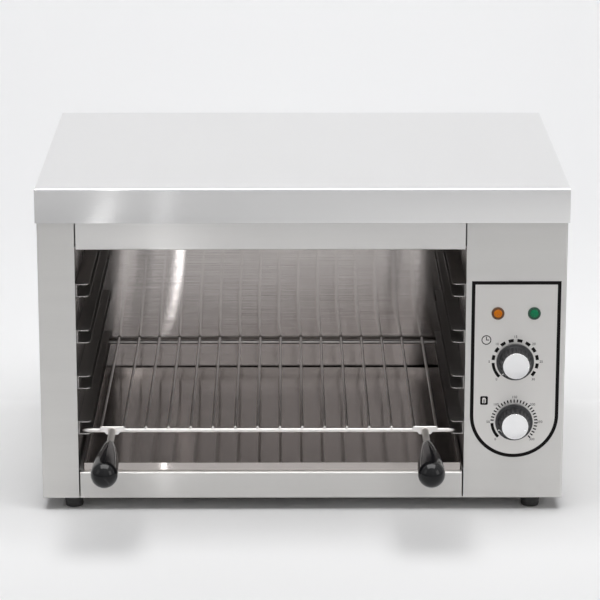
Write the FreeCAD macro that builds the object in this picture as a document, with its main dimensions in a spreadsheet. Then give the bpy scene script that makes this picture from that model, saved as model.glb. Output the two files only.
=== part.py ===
"""Countertop electric salamander grill, built as an assembly of separate pieces.

Frame: +X to the right, +Y to the back, +Z up, millimetres.  The origin lies on the
worktop, under the middle of the grill's outer box, with its handles and cable gland.
"""

import FreeCAD, Part
import math
import os
import re

V = FreeCAD.Vector
doc = FreeCAD.newDocument("SalamanderGrill")

# ---------------------------------------------------------------- driving sizes

SIZES = [
    # overall
    ("width_all", 570, "hood, side to side"),
    ("depth_all", 400, "hood, front to back"),
    ("height_all", 360, "worktop to the top of the hood"),
    ("foot_high", 14, "rubber foot, worktop to the bottom plate"),
    # sheet metal
    ("sheet_thick", 1.0, "every bent sheet"),
    ("hood_sheet", 1.0, "sheet of the hood"),
    ("hood_gap", 1.0, "between the hood's lip and the casings"),
    ("hood_lip", 37.3, "height of the hood's lip"),
    ("hood_bend", 1.8, "outer radius of the hood's folds"),
    ("fold_radius", 2.0, "outer radius of the casings' and rail's folds"),
    ("end_gap", 1.6, "gap at each end of the fascia and the rail"),
    ("fascia_show", 29.9, "height of fascia seen under the lip"),
    ("rail_high", 29.2, "front rail, bottom plate to deck"),
    ("left_column", 39.7, "width of the left front column"),
    ("right_column", 107.6, "width of the right front column"),
    ("rear_flange", 15, "width of the casings' rear flanges"),
    ("foot_flange", 12, "depth of the flanges on the bottom plate"),
    ("back_void", 26, "space behind the cavity's back wall"),
    ("fascia_deep", 24, "fascia's lower flange, front to back"),
    ("fascia_step", 10, "fascia's trimmed front part"),
    ("rear_play", 1, "rear panel inside the casings' edges"),
    ("vent_wide", 4, "slot of a vent"),
    ("side_vent_low", 24, "lowest side vent above the bottom of the casing"),
    ("side_vent_pitch", 11, "between side vents"),
    ("side_vent_long", 80, "side vent"),
    ("side_vent_back", 70, "side vent in front of the rear panel"),
    ("bottom_vent_pitch", 10, "between bottom vents"),
    ("bottom_vent_long", 60, "bottom vent"),
    ("bottom_vent_front", 120, "bottom vent behind the column's face"),
    ("rear_vent_pitch", 12, "between rear vents"),
    ("rear_vent_long", 90, "rear vent"),
    ("rear_vent_half", 90, "half the distance between the two banks of rear vents"),
    ("cut_past", 1, "how far a cutter runs past the face that it opens"),
    # heat
    ("roof_above_fascia", 27, "reflector above the fascia's lower edge"),
    ("insulation_thick", 22, "ceramic blanket on the reflector"),
    ("element_radius", 4, "radius of the heating tube"),
    ("element_above_fascia", 12, "heating tube above the fascia's lower edge"),
    ("element_margin", 46, "cavity depth left over beside three hairpins"),
    ("hairpin_half", 22, "half the distance between a hairpin's legs"),
    ("element_shift", 10, "hairpins forward of the middle of the reflector"),
    ("element_inset", 16, "hairpin's ends beyond its bend and past the right wall"),
    ("ferrule_wall", 3, "collar of a heating tube on the right wall"),
    ("ferrule_long", 3, "collar of a heating tube on the right wall"),
    ("pin_radius", 4 / 3, "terminal pin of a heating tube"),
    ("pin_long", 9, "terminal pin of a heating tube"),
    ("support_inset", 110, "hanger plates from the side walls"),
    ("support_thick", 1.5, "hanger plate"),
    ("support_margin", 12, "hanger plate beyond the outermost tubes"),
    ("support_below", 3, "hanger plate below the tubes"),
    ("blanket_gap", 1, "air round the ceramic blanket"),
    ("bulb_radius", 3, "thermostat bulb"),
    ("bulb_long", 80, "thermostat bulb"),
    ("bulb_from_back", 16, "bulb's axis in front of the back wall"),
    ("bulb_from_roof", 9, "bulb's axis below the reflector"),
    ("bulb_from_wall", 40, "bulb's end from the right wall"),
    ("clip_half", 5, "half the width of the bulb's clip"),
    ("capillary_radius", 0.8, "capillary tube"),
    ("capillary_bend", 8, "bends of the capillary tube"),
    # runners
    ("runner_wide", 14, "flange of a runner channel"),
    ("runner_high", 14.5, "height of a runner channel"),
    ("runner_above_deck", 38.8, "lowest runner above the deck"),
    ("runner_top_gap", 41.5, "top runner below the fascia's lower edge"),
    ("runner_setback", 17, "runner's front end behind the hood's face"),
    ("runner_corner", 6, "rounded front corner of a runner"),
    # rack
    ("cross_radius", 2.5, "radius of the rack's cross rods"),
    ("rack_side_play", 11.7, "cavity wider than the cross rods, both sides together"),
    ("wire_margin", 20, "end of a cross rod left bare of wires"),
    ("wire_radius", 1.5, "radius of the rack's wires"),
    ("wire_pitch", 24.33, "between wires"),
    ("wire_past", 2.0, "wire beyond the rear rod"),
    ("weld_sink", 0.3, "how far a weld lets a wire into a rod"),
    ("rack_setback", 20, "front rod behind the hood's face"),
    ("rack_back_gap", 8, "rear rod in front of the back wall"),
    ("rack_lift", 0.1, "play under the cross rods"),
    ("rack_shift", -2.6, "rack off the middle of the cavity"),
    # handles
    ("plate_wide", 28, "handle bracket"),
    ("plate_thick", 2, "handle bracket"),
    ("plate_under", 1, "bracket's bar below the rod's axis"),
    ("plate_over", 1.5, "bracket's bar above the wires' axes"),
    ("tongue_low", 3.6, "bracket's tongue below the rod's axis"),
    ("stud_radius", 3.8, "handle stud outside the grip"),
    ("stud_show", 48.5, "stud seen between bracket and grip"),
    ("thread_step", 0.5, "stud thinner inside the grip"),
    ("thread_long", 40, "handle stud inside the grip"),
    ("neck_radius", 7, "thin end of the grip"),
    ("ball_radius", 14.2, "round end of the grip"),
    ("grip_long", 96.8, "thin end of the grip to the centre of its ball"),
    # tray
    ("tray_side_play", 6.7, "cavity wider than the tray, both sides together"),
    ("tray_back_gap", 5, "tray in front of the back wall"),
    ("tray_high", 9.2, "crumb tray"),
    ("tray_wall", 1.2, "sheet of the tray"),
    ("tray_hem", 2.2, "folded rim of the tray"),
    ("tray_setback", 7, "tray behind the hood's face"),
    ("tray_shift", 1.3, "tray off the middle of the cavity"),
    # controls
    ("panel_thick", 0.5, "control panel plate"),
    ("panel_margin", 5.9, "bare column at each side of the plate"),
    ("panel_top", 244.4, "top of the plate above the bottom of the casing"),
    ("panel_low", 46.3, "lowest point of the plate's round end"),
    ("lamp_high", 208.7, "pilot lamps"),
    ("lamp_half", 19.5, "half the distance between the lamps"),
    ("timer_high", 154.5, "timer dial"),
    ("thermostat_high", 86.5, "thermostat dial"),
    ("skirt_radius", 20.25, "knob skirt"),
    ("skirt_thick", 2.5, "knob skirt"),
    ("knob_gap", 0.6, "air under the knob"),
    ("knob_tall", 17, "knob's front rim above the plate"),
    ("skirt_ledge", 2.65, "skirt beyond the knob's body"),
    ("knob_draft", 2.3, "knob body narrower at its front rim"),
    ("cap_rim", 1.0, "rim of the knob round its cap"),
    ("cap_thick", 1.4, "metal cap of the knob"),
    ("cap_recess", 0.9, "seat of the cap"),
    ("flute_radius", 1.3, "finger flutes"),
    ("flute_sink", 0.2, "flute's axis inside the foot of the knob's body"),
    ("flute_count", 20, "finger flutes"),
    ("shaft_radius", 3, "knob shaft"),
    ("shaft_flat", 1.6, "flat of the shaft from its axis"),
    ("shaft_in_knob", 12, "shaft's front end above the plate"),
    ("shaft_in_case", 18, "shaft's rear end behind the plate"),
    ("shaft_play", 0.06, "radial running clearance of the shaft"),
    ("shaft_end_play", 0.5, "air behind the shaft in its case"),
    ("bush_wall", 1.84, "bushing of timer and thermostat"),
    ("bush_play", 0.1, "radial play of a bushing or lamp case in its hole"),
    ("timer_case_side", 46, "timer case"),
    ("timer_case_deep", 30, "timer case"),
    ("thermostat_case_side", 34, "thermostat case"),
    ("thermostat_case_deep", 36, "thermostat case"),
    ("bezel_radius", 7, "lamp bezel"),
    ("bezel_tall", 1.8, "lamp bezel"),
    ("bezel_wall", 2, "lamp bezel round its lens"),
    ("lens_tall", 2.8, "lamp lens"),
    ("lamp_case_wall", 0.4, "lamp case wider than its lens"),
    ("lamp_case_deep", 24, "lamp case"),
    # mains
    ("gland_bore", 4.5, "radius of the cable entry"),
    ("gland_wall", 3.5, "threaded body of the gland"),
    ("gland_collar_step", 3, "collar and nut beyond the gland's thread"),
    ("gland_collar_long", 6, "collar of the gland"),
    ("gland_out", 14, "gland beyond the hood's back"),
    ("gland_in", 15, "gland inside the rear panel"),
    ("gland_dome_step", 2, "dome of the gland beyond its thread"),
    ("gland_lip", 3, "dome beyond the thread's end"),
    ("gland_high", 46, "gland above the bottom of the casing"),
    ("nut_long", 5, "gland nut"),
    ("nut_flat", 9.68, "flats of the gland nut from its axis"),
    ("block_from_back", 60, "terminal block in front of the rear panel"),
    ("block_wide", 60, "terminal block"),
    ("block_deep", 24, "terminal block"),
    ("block_high", 20, "terminal block"),
    ("terminal_pitch", 20, "between terminals"),
    ("terminal_radius", 4, "well of a terminal"),
    ("terminal_deep", 4, "well of a terminal"),
    ("lead_radius", 1.1, "inner wires"),
    ("lead_bend", 12, "bends of the inner wires"),
    # feet and screws
    ("foot_radius", 11, "top of a foot"),
    ("foot_tip_radius", 9.5, "bottom of a foot"),
    ("foot_inset_x", 33, "foot's axis from the casing's side"),
    ("foot_inset_y", 18, "foot's axis from the column's face"),
    ("foot_well", 8, "depth of the screw well"),
    ("foot_well_play", 0.7, "screw well round the screw head"),
    ("screw_radius", 1.75, "screw shank"),
    ("screw_head", 3.5, "radius of a screw head"),
    ("screw_head_tall", 1.8, "screw head"),
    ("screw_long", 8, "screw shank"),
    ("screw_inset", 11, "column's bottom screw from the column's edges"),
    ("deck_screw_inset", 27, "deck's outer bottom screws from the columns"),
    ("hood_screw_inset", 135, "hood's outer screws from its sides"),
    ("rear_screw_inset", 20, "rear screws from the ends of the casing"),
]

# ---------------------------------------------------- places worked out from them

PLACES = [
    ("grip_reach", "cross_radius + plate_thick + stud_show + grip_long + ball_radius"),
    ("front", "-(depth_all + gland_out - (grip_reach - rack_setback)) / 2"),
    ("back", "front + depth_all"),
    ("face", "front + hood_sheet + hood_gap"),
    ("face_in", "face + sheet_thick"),
    ("plate_face", "face - panel_thick"),
    ("rear_out", "back - hood_sheet"),
    ("rear_in", "rear_out - sheet_thick"),
    ("hood_half", "width_all / 2"),
    ("body_half", "hood_half - hood_sheet - hood_gap"),
    ("inner_half", "body_half - sheet_thick"),
    ("cav_left", "-body_half + left_column"),
    ("cav_right", "body_half - right_column"),
    ("cav_mid", "(cav_left + cav_right) / 2"),
    ("cav_wide", "cav_right - cav_left"),
    ("cav_back", "rear_out - sheet_thick - back_void"),
    ("base", "foot_high"),
    ("floor_top", "base + sheet_thick"),
    ("flange_top", "floor_top + sheet_thick"),
    ("deck_top", "base + rail_high"),
    ("top_in", "height_all - hood_sheet"),
    ("hood_low", "height_all - hood_lip"),
    ("fascia_low", "hood_low - fascia_show"),
    ("fascia_back", "face + fascia_deep"),
    ("roof_low", "fascia_low + roof_above_fascia"),
    ("roof_top", "roof_low + sheet_thick"),
    ("element_z", "fascia_low + element_above_fascia"),
    ("element_y", "(fascia_back + cav_back) / 2 - element_shift"),
    ("element_pitch", "(cav_back - fascia_back - element_margin) / 3"),
    ("element_left", "cav_left + element_inset + hairpin_half"),
    ("element_end", "cav_right + sheet_thick + element_inset"),
    ("bulb_y", "cav_back - bulb_from_back"),
    ("bulb_z", "roof_low - bulb_from_roof"),
    ("bulb_right", "cav_right - bulb_from_wall"),
    ("runner_front", "front + runner_setback"),
    ("runner_low", "deck_top + runner_above_deck"),
    ("runner_pitch", "(fascia_low - runner_top_gap - runner_high - runner_low) / 3"),
    ("rack_x", "cav_mid + rack_shift"),
    ("cross_long", "cav_wide - rack_side_play"),
    ("rod_z", "runner_low + sheet_thick + cross_radius + rack_lift"),
    ("rod_front", "front + rack_setback"),
    ("rod_back", "cav_back - rack_back_gap"),
    ("wire_z", "rod_z + cross_radius + wire_radius - weld_sink"),
    ("thread_radius", "stud_radius - thread_step"),
    ("bracket_back", "rod_front - cross_radius"),
    ("bracket_front", "bracket_back - plate_thick"),
    ("grip_back", "bracket_front - stud_show"),
    ("ball_y", "grip_back - grip_long"),
    ("tray_left", "cav_left + tray_side_play / 2 + tray_shift"),
    ("tray_right", "cav_right - tray_side_play / 2 + tray_shift"),
    ("tray_front", "front + tray_setback"),
    ("tray_back", "cav_back - tray_back_gap"),
    ("tray_rim", "deck_top + tray_high"),
    ("dial_x", "(cav_right + body_half) / 2"),
    ("lamp_z", "base + lamp_high"),
    ("timer_z", "base + timer_high"),
    ("thermostat_z", "base + thermostat_high"),
    ("panel_half", "right_column / 2 - panel_margin"),
    ("panel_arc_z", "base + panel_low + panel_half"),
    ("knob_root", "skirt_radius - skirt_ledge"),
    ("knob_rim", "knob_root - knob_draft"),
    ("cap_radius", "knob_rim - cap_rim"),
    ("bush_radius", "shaft_radius + shaft_play + bush_wall"),
    ("bush_hole", "bush_radius + bush_play"),
    ("lens_radius", "bezel_radius - bezel_wall"),
    ("lamp_case_radius", "lens_radius + lamp_case_wall"),
    ("lamp_hole", "lamp_case_radius + bush_play"),
    ("gland_radius", "gland_bore + gland_wall"),
    ("gland_collar", "gland_radius + gland_collar_step"),
    ("foot_well_radius", "screw_head + foot_well_play"),
    ("skin", "panel_thick + sheet_thick"),
    ("gland_x", "dial_x"),
    ("gland_z", "base + gland_high"),
    ("gland_tip", "back + gland_out"),
    ("block_y", "rear_in - block_from_back"),
    ("block_top", "floor_top + block_high"),
    ("foot_x", "body_half - foot_inset_x"),
    ("foot_front_y", "face + foot_inset_y"),
    ("foot_back_y", "rear_in - foot_inset_y"),
    ("screw_row_front", "face_in + foot_flange / 2"),
    ("screw_row_back", "rear_in - sheet_thick - foot_flange / 2"),
    ("hood_screw_z", "height_all - hood_lip / 2"),
    ("rear_screw_x", "body_half - rear_flange / 2"),
    ("rear_screw_low", "base + rear_screw_inset"),
    ("rear_screw_high", "hood_low - rear_screw_inset"),
]

SIZE_NAMES = {row[0] for row in SIZES}
PLACE_NAMES = {row[0] for row in PLACES}


def full(text, own_sheet=False):
    """Put each name's sheet before it, so that an expression can find its cell."""
    def prefix(match):
        word = match.group(0)
        if word in SIZE_NAMES:
            return "Sizes." + word
        if word in PLACE_NAMES and not own_sheet:
            return "Places." + word
        return word
    return re.sub(r"[a-z_]+", prefix, str(text))


sizes = doc.addObject("Spreadsheet::Sheet", "Sizes")
for row, (alias, value, note) in enumerate(SIZES, 1):
    sizes.set(f"A{row}", note)
    sizes.set(f"B{row}", str(value))
    sizes.setAlias(f"B{row}", alias)

places = doc.addObject("Spreadsheet::Sheet", "Places")
for row, (alias, formula) in enumerate(PLACES, 1):
    places.set(f"A{row}", alias.replace("_", " "))
    places.set(f"B{row}", "=" + full(formula, own_sheet=True))
    places.setAlias(f"B{row}", alias)
doc.recompute()


def number(alias):
    """The present value of one cell."""
    return float((sizes if alias in SIZE_NAMES else places).get(alias))


# ------------------------------------------------------------------ building tools

TURN = {
    "x": FreeCAD.Rotation(V(0, 1, 0), 90),
    "y": FreeCAD.Rotation(V(1, 0, 0), -90),
    "z": FreeCAD.Rotation(),
}
FACE_OUT = FreeCAD.Rotation(V(1, 0, 0), 90)      # local z points out of the front
PIECES = {}


def bind(thing, **texts):
    for name, text in texts.items():
        thing.setExpression(name.replace("__", "."), full(text))


class Piece:
    """One body, made of blocks and rods that are added and cut in order."""

    def __init__(self, label):
        self.body = doc.addObject("PartDesign::Body", label)
        self.body.Label = label
        PIECES[label] = self.body

    def feature(self, kind, turn=None, at=("0", "0", "0"), **texts):
        made = self.body.newObject("PartDesign::" + kind, self.body.Name + "_" + kind)
        if turn is not None:
            made.Placement = FreeCAD.Placement(V(0, 0, 0), turn)
        for axis, text in zip("xyz", at):
            made.setExpression("Placement.Base." + axis, full(text))
        bind(made, **texts)
        return made

    def block(self, x, y, z, cut=False):
        """A box between two values along each axis."""
        kind = "SubtractiveBox" if cut else "AdditiveBox"
        length, width, height = (f"({high}) - ({low})" for low, high in (x, y, z))
        self.feature(kind, at=(x[0], y[0], z[0]), Length=length, Width=width, Height=height)
        return self

    def rod(self, axis, radius, start, end, at, cut=False):
        """A cylinder along an axis from start to end; at gives the other two places."""
        kind = "SubtractiveCylinder" if cut else "AdditiveCylinder"
        where = list(at)
        where.insert("xyz".index(axis), start)
        self.feature(kind, TURN[axis], where, Radius=radius, Height=f"({end}) - ({start})")
        return self

    def fillet(self, radius, wanted):
        """Round every edge for which wanted(box of the edge) is true."""
        doc.recompute()
        tip = self.body.Tip
        names = [
            f"Edge{i}" for i, edge in enumerate(tip.Shape.Edges, 1) if wanted(edge.BoundBox)
        ]
        made = self.body.newObject("PartDesign::Fillet", self.body.Name + "_Fillet")
        made.Base = (tip, names)
        bind(made, Radius=radius)
        return self

    def stand(self, turn, at):
        """Give the whole body a place of its own."""
        self.body.Placement = FreeCAD.Placement(V(0, 0, 0), turn)
        for axis, text in zip("xyz", at):
            self.body.setExpression("Placement.Base." + axis, full(text))
        return self


def near(a, b):
    return abs(a - b) < 1e-4


def vertical(box):
    return box.ZLength > 1 and box.XLength < 1e-4 and box.YLength < 1e-4


def group(label, pieces):
    """Identical separate solids kept as one node."""
    made = doc.addObject("Part::Compound", label)
    made.Label = label
    made.Links = [PIECES.pop(piece) for piece in pieces]
    PIECES[label] = made


def tube_shape(points, radius, bend):
    """A round tube along straight runs joined by tangent arcs of one radius."""
    edges = []
    start = points[0]
    for before, corner, after in zip(points, points[1:], points[2:]):
        come = (corner - before).normalize()
        leave = (after - corner).normalize()
        half = come.getAngle(leave) / 2
        trim = bend * math.tan(half)
        first = corner - come * trim
        last = corner + leave * trim
        inward = (leave - come).normalize()
        middle = corner + inward * (bend / math.cos(half) - bend)
        edges.append(Part.LineSegment(start, first).toShape())
        edges.append(Part.Arc(first, middle, last).toShape())
        start = last
    edges.append(Part.LineSegment(start, points[-1]).toShape())
    path = Part.Wire(edges)
    ring = Part.Wire([Part.Circle(points[0], points[1] - points[0], radius).toShape()])
    tube = path.makePipeShell([ring], True, False)
    wanted = math.pi * radius ** 2 * path.Length
    if abs(tube.Volume / wanted - 1) > 0.01:
        raise ValueError("a tube lost its section along its path")
    return tube


def tube_node(label, shapes):
    made = doc.addObject("Part::Feature", label)
    made.Label = label
    made.Shape = shapes[0] if len(shapes) == 1 else Part.makeCompound(shapes)
    made.Placement = FreeCAD.Placement()
    PIECES[label] = made


# --------------------------------------------------------------- screw positions

BOTTOM_SCREWS_X = [
    "cav_left + deck_screw_inset", "cav_mid", "cav_right - deck_screw_inset",
    "cav_right + screw_inset", "body_half - screw_inset", "screw_inset - body_half",
]
HOOD_SCREWS_X = ["hood_screw_inset - hood_half", "0", "hood_half - hood_screw_inset"]
REAR_SCREWS = [
    (side + "rear_screw_x", height)
    for side in ("-", "") for height in ("rear_screw_low", "rear_screw_high")
]
FEET = [
    (side + "foot_x", depth)
    for side in ("-", "") for depth in ("foot_front_y", "foot_back_y")
]

# ------------------------------------------------------------------------- hood

top, top_in = number("height_all"), number("top_in")
inner_x = number("hood_half") - number("hood_sheet")
hood = Piece("hood_cover")
hood.block(("-hood_half", "hood_half"), ("front", "back"), ("hood_low", "height_all"))
hood.fillet("hood_bend", lambda box: vertical(box) or near(box.ZMin, top))
hood.block(
    ("hood_sheet - hood_half", "hood_half - hood_sheet"),
    ("front + hood_sheet", "rear_out"), ("hood_low - cut_past", "top_in"), cut=True,
)
hood.fillet(
    "hood_bend - hood_sheet",
    lambda box: near(box.ZMin, top_in) or (vertical(box) and near(abs(box.XMin), inner_x)),
)
through_back = ("rear_out - cut_past", "back + cut_past")
for x in HOOD_SCREWS_X:
    hood.rod("y", "screw_radius", *through_back, (x, "hood_screw_z"), cut=True)

# --------------------------------------------------------------------- casings


def toward_cavity(side):
    """A function that puts an outer and an inner x in the order that a block wants.

    The two sides hold mirrored pieces: the lower x is the outer one on the left only.
    """
    def span(outer, inner):
        return (outer, inner) if side == "left" else (inner, outer)
    return span


def casing(side):
    """A column face, a side wall and a rear flange, folded from one sheet."""
    span = toward_cavity(side)
    sign, inward = ("-", "+") if side == "left" else ("", "-")
    outer, outer_in, inner = sign + "body_half", sign + "inner_half", "cav_" + side
    past_inner = f"{inner} {inward} cut_past"
    inside_y = ("face_in", "rear_in - sheet_thick")
    open_z = ("base - cut_past", "top_in + cut_past")
    made = Piece(f"{side}_casing")
    made.block(span(outer, inner), ("face", "rear_in"), ("base", "top_in"))
    edge = number("body_half") * (-1 if side == "left" else 1)
    made.fillet("fold_radius", lambda box: vertical(box) and near(box.XMin, edge))
    made.block(span(outer_in, past_inner), inside_y, open_z, cut=True)
    made.block(
        span(f"{outer} {inward} rear_flange", past_inner),
        ("face_in", "rear_in + cut_past"), open_z, cut=True,
    )
    flange_y = ("face_in", "face_in + foot_flange")
    made.block(span(outer_in, inner), flange_y, ("floor_top", "flange_top"))
    return made


left, right = casing("left"), casing("right")

for made, sign in ((left, "-"), (right, "")):
    for height in ("rear_screw_low", "rear_screw_high"):
        place = (sign + "rear_screw_x", height)
        made.rod(
            "y", "screw_radius", "rear_in - sheet_thick - cut_past", "rear_in + cut_past", place,
            cut=True,
        )
DECK_SCREWS_X, RIGHT_SCREWS_X, LEFT_SCREWS_X = (
    BOTTOM_SCREWS_X[:3], BOTTOM_SCREWS_X[3:5], BOTTOM_SCREWS_X[5:],
)
for made, row_x in ((right, RIGHT_SCREWS_X), (left, LEFT_SCREWS_X)):
    for x in row_x:
        made.rod(
            "z", "screw_radius", "base", "flange_top + cut_past", (x, "screw_row_front"), cut=True,
        )

DIALS = [("dial_x", "timer_z"), ("dial_x", "thermostat_z")]
LAMPS = [("dial_x - lamp_half", "lamp_z"), ("dial_x + lamp_half", "lamp_z")]
for place in DIALS:
    right.rod("y", "bush_hole", "face - cut_past", "face_in + cut_past", place, cut=True)
for place in LAMPS:
    right.rod("y", "lamp_hole", "face - cut_past", "face_in + cut_past", place, cut=True)
VENT_ROWS = 8
for row in range(VENT_ROWS):
    low = f"base + side_vent_low + {row} * side_vent_pitch"
    right.block(
        ("inner_half - cut_past", "body_half + cut_past"),
        ("rear_in - side_vent_back - side_vent_long", "rear_in - side_vent_back"),
        (low, low + " + vent_wide"), cut=True,
    )

# ---------------------------------------------------------------- control panel

panel = Piece("control_panel")
panel_x = ("dial_x - panel_half", "dial_x + panel_half")
panel.block(panel_x, ("plate_face", "face"), ("panel_arc_z", "base + panel_top"))
panel.rod("y", "panel_half", "plate_face", "face", ("dial_x", "panel_arc_z"))
for place in DIALS:
    panel.rod("y", "bush_hole", "plate_face - cut_past", "face + cut_past", place, cut=True)
for place in LAMPS:
    panel.rod("y", "lamp_hole", "plate_face - cut_past", "face + cut_past", place, cut=True)

# ------------------------------------------------------- fascia, deck and bottom

trimmed_x = ("cav_left + end_gap", "cav_right - end_gap")
cavity_x = ("cav_left", "cav_right")
face_y = number("face")

fascia = Piece("fascia_panel")
fascia.block(trimmed_x, ("face", "face + fascia_step"), ("fascia_low", "top_in"))
fascia_low = number("fascia_low")
fascia.fillet(
    "fold_radius",
    lambda box: near(box.ZMax, fascia_low) and near(box.YMax, face_y),
)
fascia.block(
    cavity_x, ("face_in", "face + fascia_step + cut_past"),
    ("fascia_low + sheet_thick", "top_in + cut_past"), cut=True,
)
fascia.block(
    cavity_x, ("face + fascia_step", "fascia_back"), ("fascia_low", "fascia_low + sheet_thick"),
)
fascia.block(cavity_x, ("fascia_back - sheet_thick", "fascia_back"), ("fascia_low", "roof_top"))

deck = Piece("deck_plate")
deck.block(trimmed_x, ("face", "face + foot_flange"), ("base", "deck_top"))
deck_top = number("deck_top")
deck.fillet("fold_radius", lambda box: near(box.ZMin, deck_top) and near(box.YMax, face_y))
deck.block(
    cavity_x, ("face_in", "face + foot_flange + cut_past"),
    ("flange_top", "deck_top - sheet_thick"), cut=True,
)
deck.block(
    cavity_x, ("face_in", "face + foot_flange + cut_past"),
    ("base - cut_past", "floor_top"), cut=True,
)
deck.block(cavity_x, ("face + foot_flange", "cav_back"), ("deck_top - sheet_thick", "deck_top"))
for x in DECK_SCREWS_X:
    deck.rod("z", "screw_radius", "base", "flange_top + cut_past", (x, "screw_row_front"), cut=True)

bottom = Piece("bottom_plate")
bottom.block(
    ("-inner_half", "inner_half"), ("face_in", "rear_in - sheet_thick"), ("base", "floor_top"),
)
for x in BOTTOM_SCREWS_X:
    for y in ("screw_row_front", "screw_row_back"):
        bottom.rod("z", "screw_radius", "base - cut_past", "floor_top + cut_past", (x, y), cut=True)
for place in FEET:
    bottom.rod("z", "screw_radius", "base - cut_past", "floor_top + cut_past", place, cut=True)
for row in range(VENT_ROWS):
    low = f"dial_x + ({row} - {VENT_ROWS} / 2) * bottom_vent_pitch"
    bottom.block(
        (low, low + " + vent_wide"),
        ("face + bottom_vent_front", "face + bottom_vent_front + bottom_vent_long"),
        ("base - cut_past", "floor_top + cut_past"), cut=True,
    )

# -------------------------------------------------------------- walls of the cavity

wall_y = ("face_in", "cav_back + sheet_thick")
left_wall = Piece("cavity_left_wall")
left_wall.block(("cav_left - sheet_thick", "cav_left"), wall_y, ("flange_top", "top_in"))

HAIRPINS = [f"element_y + element_pitch * ({i} - 1)" for i in range(3)]
LEGS = [row + side + "hairpin_half" for row in HAIRPINS for side in (" - ", " + ")]

right_wall = Piece("cavity_right_wall")
right_wall.block(("cav_right", "cav_right + sheet_thick"), wall_y, ("flange_top", "top_in"))
through_wall = ("cav_right - cut_past", "cav_right + sheet_thick + cut_past")
for leg in LEGS:
    right_wall.rod("x", "element_radius", *through_wall, (leg, "element_z"), cut=True)
right_wall.rod("x", "capillary_radius", *through_wall, ("bulb_y", "bulb_z"), cut=True)

back_wall = Piece("cavity_back_wall")
back_wall.block(cavity_x, ("cav_back", "cav_back + sheet_thick"), ("flange_top", "roof_low"))

roof = Piece("ceiling_reflector")
roof.block(cavity_x, ("fascia_back", "cav_back + sheet_thick"), ("roof_low", "roof_top"))

blanket = Piece("ceiling_insulation")
blanket.block(
    ("cav_left + blanket_gap", "cav_right - blanket_gap"), ("fascia_back + blanket_gap", "cav_back"),
    ("roof_top", "roof_top + insulation_thick"),
)
blanket.fillet("fold_radius * 2", vertical)

rear = Piece("rear_panel")
rear.block(
    ("rear_play - body_half", "body_half - rear_play"), ("rear_in", "rear_out"),
    ("base + rear_play", "top_in - rear_play"),
)
through_rear = ("rear_in - cut_past", "rear_out + cut_past")
for place in REAR_SCREWS + [(x, "hood_screw_z") for x in HOOD_SCREWS_X]:
    rear.rod("y", "screw_radius", *through_rear, place, cut=True)
rear.rod("y", "gland_radius", *through_rear, ("gland_x", "gland_z"), cut=True)
for row in range(VENT_ROWS):
    high = f"rear_screw_high - {row} * rear_vent_pitch"
    for middle in ("cav_mid - rear_vent_half", "cav_mid + rear_vent_half"):
        rear.block(
            (middle + " - rear_vent_long / 2", middle + " + rear_vent_long / 2"),
            through_rear, (high + " - vent_wide", high), cut=True,
        )

# ------------------------------------------------------------------ heating elements

for name, row in zip(("front", "middle", "rear"), HAIRPINS):
    element = Piece(f"heating_element_{name}")
    for side in (" - ", " + "):
        leg = row + side + "hairpin_half"
        element.rod("x", "element_radius", "element_left", "element_end", (leg, "element_z"))
        element.rod(
            "x", "element_radius + ferrule_wall", "cav_right + sheet_thick",
            "cav_right + sheet_thick + ferrule_long", (leg, "element_z"),
        )
        element.rod(
            "x", "pin_radius", "element_end", "element_end + pin_long", (leg, "element_z"),
        )
    element.feature(
        "AdditiveTorus", FreeCAD.Rotation(V(0, 0, 1), 90), ("element_left", row, "element_z"),
        Radius1="hairpin_half", Radius2="element_radius", Angle3="180",
    )

supports = []
for name, x in (("left", "cav_left + support_inset"), ("right", "cav_right - support_inset")):
    support = Piece(f"element_support_{name}")
    support.block(
        (x, x + " + support_thick"),
        (LEGS[0] + " - support_margin", LEGS[-1] + " + support_margin"),
        ("element_z - element_radius - support_below", "roof_low"),
    )
    for leg in LEGS:
        support.rod(
            "x", "element_radius", x + " - cut_past", x + " + support_thick + cut_past",
            (leg, "element_z"), cut=True,
        )
    supports.append(f"element_support_{name}")
group("element_supports", supports)

# ------------------------------------------------------------------------ runners

LEVELS = 4
runner_front = number("runner_front")


def runner(side, level):
    """A C-shaped channel on a side wall, open towards the cavity."""
    span = toward_cavity(side)
    inward, out = ("+", 1) if side == "left" else ("-", -1)
    wall = "cav_" + side
    tip = f"{wall} {inward} runner_wide"
    low = f"runner_low + {level - 1} * runner_pitch"
    made = Piece(f"runner_{side}_{level}")
    made.block(span(wall, tip), ("runner_front", "cav_back"), (low, low + " + runner_high"))
    tip_x = number(wall) + out * number("runner_wide")
    made.fillet(
        "runner_corner",
        lambda box: vertical(box) and near(box.YMin, runner_front) and near(box.XMin, tip_x),
    )
    made.block(
        span(f"{wall} {inward} sheet_thick", f"{tip} {inward} cut_past"),
        ("runner_front - cut_past", "cav_back + cut_past"),
        (low + " + sheet_thick", low + " + runner_high - sheet_thick"), cut=True,
    )


for level in range(1, LEVELS + 1):
    runner("left", level)
    runner("right", level)

# --------------------------------------------------------------------------- rack

for label, y in (("rack_front_rod", "rod_front"), ("rack_rear_rod", "rod_back")):
    rod = Piece(label)
    rod.rod(
        "x", "cross_radius", "rack_x - cross_long / 2", "rack_x + cross_long / 2", (y, "rod_z"),
    )
    rod.fillet("cross_radius * 0.9", lambda box: box.XLength < 1e-4)

WIRES = math.floor((number("cross_long") - 2 * number("wire_margin")) / number("wire_pitch")) + 1
wires = []
for i in range(WIRES):
    wires.append(f"rack_wire_{i + 1}")
    Piece(wires[-1]).rod(
        "y", "wire_radius", "bracket_back", "rod_back + cross_radius + wire_past",
        (f"rack_x + wire_pitch * ({i} - {(WIRES - 1) / 2})", "wire_z"),
    )
group("rack_wires", wires)

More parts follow.
